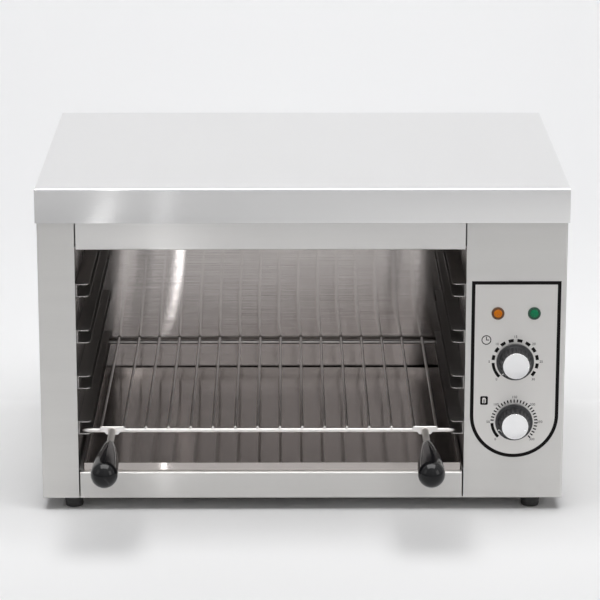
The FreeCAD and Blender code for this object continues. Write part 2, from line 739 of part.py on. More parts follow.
for side, sign in (("left", "-"), ("right", "+")):
    x = f"rack_x {sign} wire_pitch * {(WIRES - 2) / 2}"
    bracket = Piece(f"handle_bracket_{side}")
    depth = ("bracket_front", "bracket_back")
    bracket.block(
        (f"{x} - plate_wide / 2", f"{x} + plate_wide / 2"), depth,
        ("rod_z - plate_under", "wire_z + plate_over"),
    )
    bracket.block(
        (f"{x} - plate_wide / 4", f"{x} + plate_wide / 4"), depth, ("rod_z - tongue_low", "rod_z"),
    )
    stud = Piece(f"handle_stud_{side}")
    stud.rod("y", "stud_radius", "grip_back", "bracket_front", (x, "rod_z"))
    stud.rod("y", "thread_radius", "grip_back - thread_long", "grip_back", (x, "rod_z"))
    grip = Piece(f"handle_grip_{side}")
    grip.feature(
        "AdditiveCone", TURN["y"], (x, "ball_y", "rod_z"),
        Radius1="ball_radius * 0.998", Radius2="neck_radius", Height="grip_long",
    )
    grip.feature("AdditiveSphere", None, (x, "ball_y", "rod_z"), Radius="ball_radius")
    grip.rod(
        "y", "thread_radius", "grip_back - thread_long", "grip_back + cut_past", (x, "rod_z"),
        cut=True,
    )

# --------------------------------------------------------------------- crumb tray

tray = Piece("crumb_tray")
tray.block(("tray_left", "tray_right"), ("tray_front", "tray_back"), ("deck_top", "tray_rim"))
tray.fillet("fold_radius", vertical)
tray.fillet("tray_wall", lambda box: near(box.ZMax, deck_top))
tray.block(
    ("tray_left + tray_hem", "tray_right - tray_hem"),
    ("tray_front + tray_hem", "tray_back - tray_hem"),
    ("deck_top + tray_wall", "tray_rim + cut_past"), cut=True,
)
tray.block(
    ("tray_left + tray_wall", "tray_right - tray_wall"),
    ("tray_front + tray_wall", "tray_back - tray_wall"),
    ("deck_top + tray_wall", "tray_rim - tray_hem"), cut=True,
)

# ----------------------------------------------------------------------- controls


def dial_set(name, height, case_side, case_deep):
    """A knob with its cap and shaft, and the case that the shaft turns in."""
    at = ("dial_x", "plate_face", height)
    flat_block = (
        ("shaft_flat", "shaft_radius + cut_past"),
        ("-shaft_radius - cut_past", "shaft_radius + cut_past"),
        ("knob_gap", "shaft_in_knob"),
    )
    knob = Piece(f"{name}_knob")
    knob.rod("z", "skirt_radius", "knob_gap", "knob_gap + skirt_thick", ("0", "0"))
    knob.feature(
        "AdditiveCone", None, ("0", "0", "knob_gap + skirt_thick"),
        Radius1="knob_root", Radius2="knob_rim", Height="knob_tall - knob_gap - skirt_thick",
    )
    rim = number("knob_tall")
    knob.fillet("knob_gap", lambda box: near(box.ZMin, rim) and near(box.ZMax, rim))
    doc.recompute()
    knob.rod(
        "z", "flute_radius", "knob_gap + skirt_thick + cut_past", "knob_tall + cut_past",
        ("knob_root - flute_sink", "0"), cut=True,
    )
    flute = knob.body.Tip
    ring = knob.body.newObject("PartDesign::PolarPattern", f"{name}_flutes")
    ring.Originals = [flute]
    roles = {item.Role: item for item in knob.body.Origin.OriginFeatures}
    ring.Axis = (roles["Z_Axis"], [""])
    ring.Angle = 360
    bind(ring, Occurrences="flute_count")
    knob.body.Tip = ring
    knob.rod("z", "cap_radius", "knob_tall - cap_recess", "knob_tall + cut_past", ("0", "0"), cut=True)
    knob.rod("z", "shaft_radius", "knob_gap", "shaft_in_knob", ("0", "0"), cut=True)
    knob.block(*flat_block)
    knob.stand(FACE_OUT, at)

    cap = Piece(f"{name}_knob_cap")
    seat = "knob_tall - cap_recess"
    cap.rod("z", "cap_radius", seat, seat + " + cap_thick", ("0", "0"))
    cap_top = number("knob_tall") - number("cap_recess") + number("cap_thick")
    cap.fillet("cap_thick / 4", lambda box: near(box.ZMin, cap_top))
    cap.stand(FACE_OUT, at)

    shaft = Piece(f"{name}_shaft")
    shaft.rod("z", "shaft_radius", "-shaft_in_case", "shaft_in_knob", ("0", "0"))
    shaft.block(*flat_block, cut=True)
    shaft.stand(FACE_OUT, at)

    case = Piece(f"{name}_case")
    half = f"{case_side} / 2"
    case.block((f"-{half}", half), (f"-{half}", half), (f"-skin - {case_deep}", "-skin"))
    case.fillet("fold_radius", vertical)
    case.rod("z", "bush_radius", "-skin", "0", ("0", "0"))
    case.rod(
        "z", "shaft_radius + shaft_play", "-shaft_in_case - shaft_end_play", "cut_past", ("0", "0"),
        cut=True,
    )
    case.stand(FACE_OUT, at)


dial_set("timer", "timer_z", "timer_case_side", "timer_case_deep")
dial_set("thermostat", "thermostat_z", "thermostat_case_side", "thermostat_case_deep")

bezels, cases = [], []
for colour, (x, z) in zip(("amber", "green"), LAMPS):
    at = (x, "plate_face", z)
    bezel = Piece(f"{colour}_lamp_bezel")
    bezel.rod("z", "bezel_radius", "0", "bezel_tall", ("0", "0"))
    tall = number("bezel_tall")
    bezel.fillet("bezel_tall / 2", lambda box: near(box.ZMin, tall))
    bezel.rod("z", "lens_radius", "-1", "bezel_tall + cut_past", ("0", "0"), cut=True)
    bezel.stand(FACE_OUT, at)
    bezels.append(f"{colour}_lamp_bezel")
    lens = Piece(f"{colour}_lamp_lens")
    lens.rod("z", "lens_radius", "0", "lens_tall", ("0", "0"))
    lens_top = number("lens_tall")
    lens.fillet("lens_tall / 2", lambda box: near(box.ZMin, lens_top))
    lens.stand(FACE_OUT, at)
    lamp_case = Piece(f"{colour}_lamp_case")
    lamp_case.rod("z", "lamp_case_radius", "-lamp_case_deep", "0", ("0", "0"))
    lamp_case.stand(FACE_OUT, at)
    cases.append(f"{colour}_lamp_case")
group("lamp_bezels", bezels)
group("lamp_cases", cases)

# -------------------------------------------------------- bulb, capillary and mains

bulb = Piece("thermostat_bulb")
bulb.rod("x", "bulb_radius", "bulb_right - bulb_long", "bulb_right", ("bulb_y", "bulb_z"))
bulb_tip = number("bulb_right") - number("bulb_long")
bulb.fillet("bulb_radius * 0.8", lambda box: box.XLength < 1e-4 and near(box.XMin, bulb_tip))

clip = Piece("bulb_clip")
clip_mid = "bulb_right - bulb_long / 2"
clip_x = (clip_mid + " - clip_half", clip_mid + " + clip_half")
clip_y = ("bulb_y - clip_half", "bulb_y + clip_half")
clip.block(clip_x, clip_y, ("bulb_z - clip_half", "roof_low"))
clip.rod(
    "x", "bulb_radius", clip_x[0] + " - cut_past", clip_x[1] + " + cut_past",
    ("bulb_y", "bulb_z"), cut=True,
)

block = Piece("terminal_block")
block.block(
    ("dial_x - block_wide / 2", "dial_x + block_wide / 2"), ("block_y", "block_y + block_deep"),
    ("floor_top", "block_top"),
)
for x in ("dial_x - terminal_pitch", "dial_x", "dial_x + terminal_pitch"):
    block.rod(
        "z", "terminal_radius", "block_top - terminal_deep", "block_top + cut_past",
        (x, "block_y + block_deep / 2"), cut=True,
    )

gland = Piece("cable_gland")
gland_at = ("gland_x", "gland_z")
gland.rod("y", "gland_radius", "rear_in - gland_in", "gland_tip - gland_lip", gland_at)
gland.rod("y", "gland_collar", "rear_out", "rear_out + gland_collar_long", gland_at)
gland.rod(
    "y", "gland_radius + gland_dome_step", "rear_out + gland_collar_long", "gland_tip", gland_at,
)
gland.rod(
    "y", "gland_bore", "rear_in - gland_in - cut_past", "gland_tip + cut_past", gland_at, cut=True,
)

nut = Piece("gland_nut")
nut.rod("y", "gland_collar", "rear_in - nut_long", "rear_in", gland_at)
nut_y = ("rear_in - nut_long - cut_past", "rear_in + cut_past")
nut.rod("y", "gland_radius", *nut_y, gland_at, cut=True)
nut_x = ("gland_x - 2 * gland_collar", "gland_x + 2 * gland_collar")
nut.block(nut_x, nut_y, ("gland_z - 2 * gland_collar", "gland_z - nut_flat"), cut=True)
nut.block(nut_x, nut_y, ("gland_z + nut_flat", "gland_z + 2 * gland_collar"), cut=True)

# The routes of the capillary and the leads are points chosen by hand round the cases.
dial_x = number("dial_x")
case_back = number("face_in") + number("thermostat_case_deep")
timer_back = number("face_in") + number("timer_case_deep")
case_mid = (number("face_in") + case_back) / 2
case_top = number("thermostat_z") + number("thermostat_case_side") / 2
right_x = number("cav_right")
bulb_y, bulb_z = number("bulb_y"), number("bulb_z")
drop_x = right_x + 30
CAPILLARY = [
    V(number("bulb_right"), bulb_y, bulb_z),
    V(drop_x, bulb_y, bulb_z),
    V(drop_x, bulb_y, case_top + 16),
    V(drop_x, timer_back + 20, case_top + 16),
    V(dial_x - 10, case_mid, case_top + 16),
    V(dial_x - 10, case_mid, case_top),
]
tube_node("thermostat_capillary", [
    tube_shape(CAPILLARY, number("capillary_radius"), number("capillary_bend")),
])

pin_x = number("element_end") + number("pin_long")
pin_z = number("element_z")
first_leg = number("element_y") - number("element_pitch") - number("hairpin_half")
last_leg = number("element_y") + number("element_pitch") + number("hairpin_half")
block_y = number("block_y") + number("block_deep") / 2
block_z = number("block_top") - number("terminal_deep")
timer_z = number("timer_z")
thermostat_z = number("thermostat_z")
LEADS = [
    # supply to the timer
    [V(dial_x + 20, block_y, block_z), V(dial_x + 20, block_y, timer_z + 10),
     V(dial_x + 20, timer_back, timer_z + 10)],
    # timer to the thermostat
    [V(dial_x + 6, timer_back, timer_z - 10), V(dial_x + 6, timer_back + 34, timer_z - 10),
     V(dial_x + 6, timer_back + 34, thermostat_z), V(dial_x + 6, case_back, thermostat_z)],
    # thermostat to the front element
    [V(dial_x + 12, case_back, thermostat_z - 10), V(dial_x + 12, first_leg, thermostat_z - 10),
     V(dial_x + 12, first_leg, pin_z), V(pin_x, first_leg, pin_z)],
    # return from the rear element
    [V(dial_x, block_y, block_z), V(dial_x, block_y, pin_z - 60),
     V(dial_x, last_leg, pin_z - 60), V(dial_x, last_leg, pin_z),
     V(pin_x, last_leg, pin_z)],
]
tube_node("inner_wiring", [
    tube_shape(points, number("lead_radius"), number("lead_bend")) for points in LEADS
])

# ------------------------------------------------------------------ feet and screws

feet, foot_screws = [], []
for i, (x, y) in enumerate(FEET):
    foot = Piece(f"foot_{i}")
    foot.feature(
        "AdditiveCone", None, (x, y, "0"),
        Radius1="foot_tip_radius", Radius2="foot_radius", Height="foot_high",
    )
    foot.rod("z", "foot_well_radius", "-cut_past", "foot_well", (x, y), cut=True)
    foot.rod(
        "z", "screw_radius", "foot_well - cut_past", "foot_high + cut_past", (x, y), cut=True,
    )
    feet.append(f"foot_{i}")
    screw = Piece(f"foot_screw_{i}")
    screw.rod("z", "screw_head", "foot_well - screw_head_tall", "foot_well", (x, y))
    screw.rod("z", "screw_radius", "foot_well", "foot_high + screw_long", (x, y))
    foot_screws.append(f"foot_screw_{i}")
group("feet", feet)
group("foot_screws", foot_screws)


def screws(label, axis, seats):
    """Pan-head screws; each seat gives the head's end, the head's seat and the shank's end."""
    made = []
    for i, (head, seat, tip, at) in enumerate(seats):
        screw = Piece(f"{label}_{i}")
        low, high = (head, seat) if axis == "z" else (seat, head)
        screw.rod(axis, "screw_head", low, high, at)
        low, high = (seat, tip) if axis == "z" else (tip, seat)
        screw.rod(axis, "screw_radius", low, high, at)
        made.append(f"{label}_{i}")
    group(label, made)


screws("bottom_screws", "z", [
    ("base - screw_head_tall", "base", "base + screw_long", (x, y))
    for x in BOTTOM_SCREWS_X for y in ("screw_row_front", "screw_row_back")
])
screws("hood_screws", "y", [
    ("back + screw_head_tall", "back", "back - screw_long", (x, "hood_screw_z"))
    for x in HOOD_SCREWS_X
])
screws("rear_screws", "y", [
    ("rear_out + screw_head_tall", "rear_out", "rear_out - screw_long", place)
    for place in REAR_SCREWS
])

# --------------------------------------------------------------- check and write

doc.recompute()
for thing in doc.Objects:
    if "Invalid" in thing.State or "Error" in thing.State:
        raise RuntimeError(f"{thing.Label}: {thing.State}")
for label, piece in PIECES.items():
    if piece.Shape.isNull() or not piece.Shape.isValid():
        raise RuntimeError(f"{label}: its shape is not valid")

os.makedirs("parts", exist_ok=True)
for label, piece in PIECES.items():
    piece.Shape.exportStep(f"parts/{label}.step")
whole = Part.makeCompound([piece.Shape for piece in PIECES.values()]).BoundBox
print(len(PIECES), "nodes; box", whole)
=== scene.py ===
# %% [markdown]
# # An electric salamander grill, dressed for its portrait
#
# A salamander is a small open-fronted grill: tube heaters hang under the roof, food
# slides in on a wire rack, and crumbs fall on a shallow tray.  The folded steel, the
# runners and everything that moves were already built to size and arrive as a fixed
# frame of named nodes.  This lesson adds what that frame lacks: brushed steel that
# catches light the way rolled sheet does, printed dials, moulded knobs, turned grips,
# plated wire, cross-headed screws, and a pale studio to stand in.

# %% Load the fixed frame
import math
import bmesh
import bpy
import numpy as np
from mathutils import Matrix, Vector


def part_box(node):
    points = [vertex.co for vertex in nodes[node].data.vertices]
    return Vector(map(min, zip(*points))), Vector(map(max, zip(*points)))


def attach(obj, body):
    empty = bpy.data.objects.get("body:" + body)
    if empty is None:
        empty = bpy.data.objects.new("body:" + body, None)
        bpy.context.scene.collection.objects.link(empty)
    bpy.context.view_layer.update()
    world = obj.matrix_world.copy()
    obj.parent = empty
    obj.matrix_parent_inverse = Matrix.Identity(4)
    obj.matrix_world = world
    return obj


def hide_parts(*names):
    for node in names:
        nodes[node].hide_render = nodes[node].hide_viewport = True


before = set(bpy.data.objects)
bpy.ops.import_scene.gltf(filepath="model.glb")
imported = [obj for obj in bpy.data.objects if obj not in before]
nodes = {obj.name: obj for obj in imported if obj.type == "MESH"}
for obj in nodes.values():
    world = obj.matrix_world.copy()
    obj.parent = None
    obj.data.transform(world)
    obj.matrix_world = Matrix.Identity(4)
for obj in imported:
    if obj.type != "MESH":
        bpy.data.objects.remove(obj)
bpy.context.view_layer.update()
MM = 0.001

# %% [markdown]
# ## Reading places from the frame
#
# No place is typed twice.  A node's box says where its piece goes: a knob's axis is
# the middle of the knob's box, the printed plate is as wide as the plate's box.

# %% Places


def low(name):
    return np.array(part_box(name)[0])


def high(name):
    return np.array(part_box(name)[1])


def middle(name):
    return (low(name) + high(name)) / 2


RIGHT, BACK, UP = np.eye(3)
FRONT = -BACK
plate_low, plate_high = low("control_panel"), high("control_panel")
plate_front = plate_low[1]


def on_plate(name):
    """A node's middle, moved onto the face of the control plate."""
    return middle(name) * (1, 0, 1) + BACK * plate_front


print("front plate stands at y =", round(float(plate_front), 4))

# %% [markdown]
# ## Camera
#
# The view is a long lens from three metres away and one metre up, so the sides hardly
# converge.  The camera looks a little down and is turned by a fraction of a degree, as
# a hand-set tripod always is.

# %% Camera
LENS, SENSOR = 172.96, 36.0
PITCH, YAW, ROLL = 15.4056, 0.2639, 0.0237
STAND_OFF, SIDE_STEP, EYE_HEIGHT = 2.97377, -0.01632, 1.05754
camera_data = bpy.data.cameras.new("camera")
camera_data.lens = LENS
camera_data.sensor_width = SENSOR
camera = bpy.data.objects.new("camera", camera_data)
bpy.context.collection.objects.link(camera)
bpy.context.scene.camera = camera
pitch, yaw, roll = (math.radians(angle) for angle in (PITCH, YAW, ROLL))
ahead = math.cos(pitch)
aim = Vector((math.sin(yaw) * ahead, math.cos(yaw) * ahead, -math.sin(pitch)))
level = aim.cross(Vector(UP)).normalized()
upright = level.cross(aim)
right_hand = level * math.cos(roll) + upright * math.sin(roll)
up_hand = upright * math.cos(roll) - level * math.sin(roll)
turn = Matrix((right_hand, up_hand, -aim)).transposed()
camera.rotation_mode = "QUATERNION"
camera.rotation_quaternion = turn.to_quaternion()
camera.location = (SIDE_STEP, low("hood_cover")[1] - STAND_OFF, EYE_HEIGHT)
print("camera at", [round(v, 3) for v in camera.location])

# %% [markdown]
# ## From arrays to meshes
#
# Every new piece is one or more grids of points.  A grid's neighbours make four-sided
# faces, and a direction that closes on itself joins its last line to its first.  A row
# that shrinks to one point is a pole: merging doubled points turns its faces into
# triangles and closes the surface.

# %% Grids of points to one mesh


def grid_faces(rows, columns, wrap_rows, wrap_columns, start):
    """Corner numbers of a grid's faces: (i, j), (i, j+1), (i+1, j+1), (i+1, j)."""
    i, j = np.meshgrid(
        np.arange(rows if wrap_rows else rows - 1),
        np.arange(columns if wrap_columns else columns - 1), indexing="ij",
    )
    next_i, next_j = (i + 1) % rows, (j + 1) % columns
    corners = [
        i * columns + j, i * columns + next_j, next_i * columns + next_j, next_i * columns + j,
    ]
    return np.stack(corners, axis=-1).reshape(-1, 4) + start


MERGE_WITHIN = 0.003 * MM
SHARP_FROM = math.radians(40)


def mesh_piece(name, patches, smooth=True):
    """One mesh from patches, each (points, wrap_rows, wrap_columns).

    Doubled points are merged, faces are made to point outwards, and edges that bend
    by more than SHARP_FROM stay crisp.
    """
    points, faces, start = [], [], 0
    for patch, wrap_rows, wrap_columns in patches:
        rows, columns = patch.shape[:2]
        points.append(patch.reshape(-1, 3))
        faces.append(grid_faces(rows, columns, wrap_rows, wrap_columns, start))
        start += rows * columns
    mesh = bpy.data.meshes.new(name)
    mesh.from_pydata(np.concatenate(points).tolist(), [], np.concatenate(faces).tolist())
    work = bmesh.new()
    work.from_mesh(mesh)
    bmesh.ops.remove_doubles(work, verts=work.verts, dist=MERGE_WITHIN)
    bmesh.ops.dissolve_degenerate(work, edges=work.edges, dist=0.001 * MM)
    bmesh.ops.recalc_face_normals(work, faces=work.faces)
    work.to_mesh(mesh)
    work.free()
    mesh.polygons.foreach_set("use_smooth", np.full(len(mesh.polygons), smooth))
    if smooth:
        mesh.set_sharp_from_angle(angle=SHARP_FROM)
    piece = bpy.data.objects.new(name, mesh)
    bpy.context.collection.objects.link(piece)
    return piece


def settle(piece, body, material, replaced=()):
    """Say what a piece rides on, whose finish it has and which nodes it stands for."""
    piece.data.materials.append(material)
    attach(piece, body)
    if replaced:
        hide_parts(*replaced)
    print(f"{piece.name}: {len(piece.data.polygons)} faces, rides on {body}")
    return piece


# %% [markdown]
# ## The studio
#
# Brushed steel has almost no colour of its own: it shows whatever stands round it.  A
# studio for it is mostly large pale surfaces.  Here a paper sweep curves up from the
# floor into a wall, so that nothing ends in a hard line, and soft lamps hang above and
# to both sides.  A fourth lamp is a narrow upright strip: its mirror image is the streak
# on the hood's front lip.

# %% Paper sweep
SWEEP_HALF = 7.0
SWEEP_FRONT = -5.0
SWEEP_BEND = 1.1
SWEEP_RADIUS = 1.6
SWEEP_TOP = 5.0
bend = np.radians(np.linspace(0, 90, 24))
bend_y = SWEEP_BEND + SWEEP_RADIUS * np.sin(bend)
bend_z = SWEEP_RADIUS * (1 - np.cos(bend))
sweep_y = np.concatenate([[SWEEP_FRONT, -1.0, 0.0, 0.5], bend_y, bend_y[-1:]])
sweep_z = np.concatenate([[0.0, 0.0, 0.0, 0.0], bend_z, [SWEEP_TOP]])
across = np.linspace(-SWEEP_HALF, SWEEP_HALF, 5)
sweep = np.stack(
    np.broadcast_arrays(across[None, :], sweep_y[:, None], sweep_z[:, None]), axis=-1,
)
floor = mesh_piece("studio_sweep", [(sweep, False, False)])
if floor.data.polygons[0].normal.z < 0:
    floor.data.flip_normals()
print("sweep:", len(floor.data.polygons), "faces, wall up to", SWEEP_TOP, "m")

# %% Studio lamps


def soft_lamp(name, place, size, power, colour=(1, 1, 1), target=(0, 0.05, 0.15)):
    """A rectangular lamp that faces its target; power is in watts, lengths in metres."""
    data = bpy.data.lights.new(name, "AREA")
    data.shape = "RECTANGLE"
    data.size, data.size_y = size
    data.energy = power
    data.color = colour
    lamp = bpy.data.objects.new(name, data)
    lamp.location = place
    lamp.rotation_mode = "QUATERNION"
    lamp.rotation_quaternion = (Vector(place) - Vector(target)).to_track_quat("Z", "Y")
    bpy.context.collection.objects.link(lamp)
    print(name, "at", place)


soft_lamp("top_lamp", (0.0, -0.15, 2.6), (2.6, 1.8), 68, target=(0, -0.1, 0))
soft_lamp("left_lamp", (-2.4, -1.4, 1.5), (1.2, 1.6), 4)
soft_lamp("right_lamp", (2.3, -1.6, 1.3), (1.2, 1.6), 10, (1.0, 0.985, 0.96))
STRIP_X, STRIP_Z = -0.308, 0.75
soft_lamp(
    "strip_lamp", (STRIP_X, -1.75, STRIP_Z), (0.03, 1.3), 0.14, target=(STRIP_X, 0.2, STRIP_Z),
)

# %% [markdown]
# ## Node trees in few words
#
# A material or a world is a tree of nodes.  Written out one call at a time it is long
# and hard to read, so small helpers do the repeating work: they make a group, or a node
# with its inputs filled, or do a sum on numbers or on vectors.

# %% Small helpers for node trees


def new_group(name, inputs, outputs):
    """An empty shader node group: inputs are (name, kind, value), outputs (name, kind)."""
    group = bpy.data.node_groups.new(name, "ShaderNodeTree")
    for label, kind, value in inputs:
        group.interface.new_socket(
            name=label, in_out="INPUT", socket_type="NodeSocket" + kind,
        ).default_value = value
    for label, kind in outputs:
        group.interface.new_socket(name=label, in_out="OUTPUT", socket_type="NodeSocket" + kind)
    return group, group.nodes.new("NodeGroupInput"), group.nodes.new("NodeGroupOutput")


def put(tree, kind, sockets=(), **settings):
    """A new node: settings are its own, sockets are (input, value or output) pairs."""
    made = tree.nodes.new("ShaderNode" + kind)
    for key, value in settings.items():
        setattr(made, key, value)
    for key, value in sockets:
        if hasattr(value, "is_output"):
            tree.links.new(value, made.inputs[key])
        else:
            made.inputs[key].default_value = value
    return made


def calc(tree, operation, *values):
    """One Math node; each value is a number or another node's output."""
    return put(tree, "Math", list(enumerate(values)), operation=operation).outputs[0]


def vector_calc(tree, operation, *values):
    """One Vector Math node, in the same way."""
    return put(tree, "VectorMath", list(enumerate(values)), operation=operation).outputs[0]


def object_place(tree):
    """Where a point lies in its own object, in metres, which here is its place at rest."""
    return put(tree, "TexCoord").outputs["Object"]


# %% [markdown]
# ## The room that the steel reflects
#
# Behind the camera the room is dimmer than the lit sweep, its ceiling is brighter, and
# its right side a little brighter than its left.  The world's colour therefore changes
# with direction.  Only the camera and mirror rays see it at full strength; what lands
# on matt things comes mostly from the lamps.

# %% World
world = bpy.data.worlds.new("studio_room")
bpy.context.scene.world = world
world.use_nodes = True
sky = world.node_tree
sky.nodes.clear()
toward = put(sky, "SeparateXYZ", [(0, put(sky, "TexCoord").outputs["Generated"])])
height = put(sky, "MapRange", [("Value", toward.outputs["Z"]), ("From Min", 0.1)])
room = put(sky, "ValToRGB", [("Fac", height.outputs[0])])
room.color_ramp.elements[0].color = (0.55, 0.55, 0.56, 1)
room.color_ramp.elements[1].color = (0.95, 0.95, 0.96, 1)
side = put(sky, "MapRange", [
    ("Value", toward.outputs["X"]), ("From Min", -0.02), ("From Max", 0.06),
    ("To Min", 0.94), ("To Max", 1.2),
])
bright = put(sky, "Background", [
    ("Color", room.outputs["Color"]), ("Strength", side.outputs[0]),
])
dim = put(sky, "Background", [("Color", (0.97, 0.98, 1.0, 1)), ("Strength", 0.13)])
path = put(sky, "LightPath")
seen = calc(sky, "MAXIMUM", path.outputs["Is Camera Ray"], path.outputs["Is Glossy Ray"])
either = put(sky, "MixShader", [(0, seen), (1, dim.outputs[0]), (2, bright.outputs[0])])
put(sky, "OutputWorld", [("Surface", either.outputs[0])])
bpy.context.scene.view_settings.view_transform = "Standard"
print("world:", len(sky.nodes), "nodes")

# %% [markdown]
# ## Effects that several finishes share
#
# Some effects return in many finishes, so each is a node group with its own numbers in
# each material.  *Brush lines* are the parallel scratches of an abrasive belt: noise
# stretched along one direction.  *Handling marks* are slow clouds, as wiping leaves
# them.  *Turned rings* are the fine circles of a lathe or a spinning tool.  *Sheet bow*
# is the slight waviness of thin folded sheet, with a twist that grows away from one
# height: it bends and slants what the sheet mirrors.

# %% Brush lines
brush, given, result = new_group(
    "brush_lines", [("Lines", "Float", 900.0), ("Stretch", "Float", 9.0)],
    [("Fine", "Float"), ("Broad", "Float")],
)
place = put(brush, "SeparateXYZ", [(0, object_place(brush))])
normal = put(brush, "SeparateXYZ", [(0, put(brush, "NewGeometry").outputs["Normal"])])
lies_flat = calc(brush, "GREATER_THAN", calc(brush, "ABSOLUTE", normal.outputs["Z"]), 0.6)
stands = calc(brush, "SUBTRACT", 1.0, lies_flat)
across_lines = calc(
    brush, "ADD", calc(brush, "MULTIPLY", place.outputs["Z"], stands),
    calc(brush, "MULTIPLY", place.outputs["Y"], lies_flat),
)
along_lines = calc(
    brush, "ADD", place.outputs["X"], calc(brush, "MULTIPLY", place.outputs["Y"], stands),
)
stretched = put(brush, "CombineXYZ", [
    ("X", calc(brush, "MULTIPLY", along_lines, given.outputs["Stretch"])),
    ("Y", calc(brush, "MULTIPLY", across_lines, given.outputs["Lines"])),
]).outputs[0]
fine = put(brush, "TexNoise", [
    ("Vector", stretched), ("Scale", 1.0), ("Detail", 3.0), ("Roughness", 0.7),
])
squeezed = vector_calc(brush, "MULTIPLY", stretched, (0.35, 0.06, 1.0))
broad = put(brush, "TexNoise", [("Vector", squeezed), ("Scale", 1.0), ("Detail", 2.0)])
brush.links.new(fine.outputs["Fac"], result.inputs["Fine"])
brush.links.new(broad.outputs["Fac"], result.inputs["Broad"])

# %% Handling marks
handling, given, result = new_group(
    "handling_marks",
    [("Size", "Float", 9.0), ("Low", "Float", 0.3), ("High", "Float", 0.4)],
    [("Roughness", "Float"), ("Cloud", "Float")],
)
cloud = put(handling, "TexNoise", [
    ("Vector", object_place(handling)), ("Scale", given.outputs["Size"]),
    ("Detail", 4.0), ("Roughness", 0.55),
]).outputs["Fac"]
spread = put(handling, "MapRange", [
    ("Value", cloud), ("From Min", 0.3), ("From Max", 0.7),
    ("To Min", given.outputs["Low"]), ("To Max", given.outputs["High"]),
])
handling.links.new(spread.outputs[0], result.inputs["Roughness"])
handling.links.new(cloud, result.inputs["Cloud"])

# %% Turned rings
rings, given, result = new_group(
    "turned_rings", [("Centre", "Vector", (0, 0, 0)), ("Rings", "Float", 4000.0)],
    [("Height", "Float")],
)
away = vector_calc(rings, "SUBTRACT", object_place(rings), given.outputs["Centre"])
flat_away = vector_calc(rings, "MULTIPLY", away, (1.0, 0.0, 1.0))
distance = put(rings, "VectorMath", [(0, flat_away)], operation="LENGTH").outputs["Value"]
groove = put(rings, "TexNoise", [
    ("W", calc(rings, "MULTIPLY", distance, given.outputs["Rings"])),
    ("Scale", 1.0), ("Detail", 2.0),
], noise_dimensions="1D")
rings.links.new(groove.outputs["Fac"], result.inputs["Height"])

# %% Sheet bow
WAVE_HIGH = 0.3 * MM
bow, given, result = new_group(
    "sheet_bow", [("Top", "Float", 0.3), ("Twist", "Float", 0.0)], [("Height", "Float")],
)
place = put(bow, "SeparateXYZ", [(0, object_place(bow))])
below = calc(bow, "SUBTRACT", place.outputs["Z"], given.outputs["Top"])
leaning = calc(bow, "MULTIPLY", calc(bow, "MULTIPLY", below, below), place.outputs["X"])
slow = put(bow, "TexNoise", [
    ("Vector", object_place(bow)), ("Scale", 5.0), ("Detail", 1.0),
]).outputs["Fac"]
bowed = calc(
    bow, "SUBTRACT", calc(bow, "MULTIPLY", slow, WAVE_HIGH),
    calc(bow, "MULTIPLY", leaning, given.outputs["Twist"]),
)
bow.links.new(bowed, result.inputs["Height"])
print("shared effects:", [group.name for group in bpy.data.node_groups])

# %% [markdown]
# ## Steel finishes
#
# Brushed sheet spreads a reflection across its scratches and keeps it sharp along
# them.  The Principled shader does this with *Anisotropic*, which smears along the
# *Tangent* it is given.  One constant tangent serves every face of a folded sheet:
# upright, with a touch of depth, so that level faces, where the upright part vanishes,
# smear from front to back.  The scratches are also relief, at most a tenth of a
# millimetre deep.  A Bump node measures slope across its filter width, and a wide filter
# would blur such fine lines sideways too, so steel gets a very narrow one.

# %% Brushed steel


def blank(name):
    """A new material, its tree and its Principled shader."""
    material = bpy.data.materials.new(name)
    material.use_nodes = True
    tree = material.node_tree
    return material, tree, tree.nodes["Principled BSDF"]


def use(tree, group, **values):
    """A shared effect placed in a material with its own numbers."""
    made = tree.nodes.new("ShaderNodeGroup")
    made.node_tree = group
    for key, value in values.items():
        made.inputs[key].default_value = value
    return made


def two_tone(tree, mask, dark, light):
    """A colour between two others, chosen by a mask."""
    made = put(tree, "Mix", [("Factor", mask)], data_type="RGBA")
    made.inputs["A"].default_value = (*dark, 1)
    made.inputs["B"].default_value = (*light, 1)
    return made.outputs["Result"]


def relief(tree, shader, height, strength, distance, width=0.1):
    """A height times the distance, together in metres, as a slope for the shader."""
    bump = put(tree, "Bump", [
        ("Height", height), ("Strength", strength), ("Distance", distance), ("Filter Width", width),
    ])
    tree.links.new(bump.outputs[0], shader.inputs["Normal"])


def coloured(tree, shader, mask, dark, light, gloss):
    """The shader's colour from two tones, and its roughness from handling marks."""
    tree.links.new(two_tone(tree, mask, dark, light), shader.inputs["Base Color"])
    tree.links.new(gloss.outputs["Roughness"], shader.inputs["Roughness"])


FINE_SHARE, BROAD_SHARE = 0.35, 0.65
NARROW_FILTER = 0.002


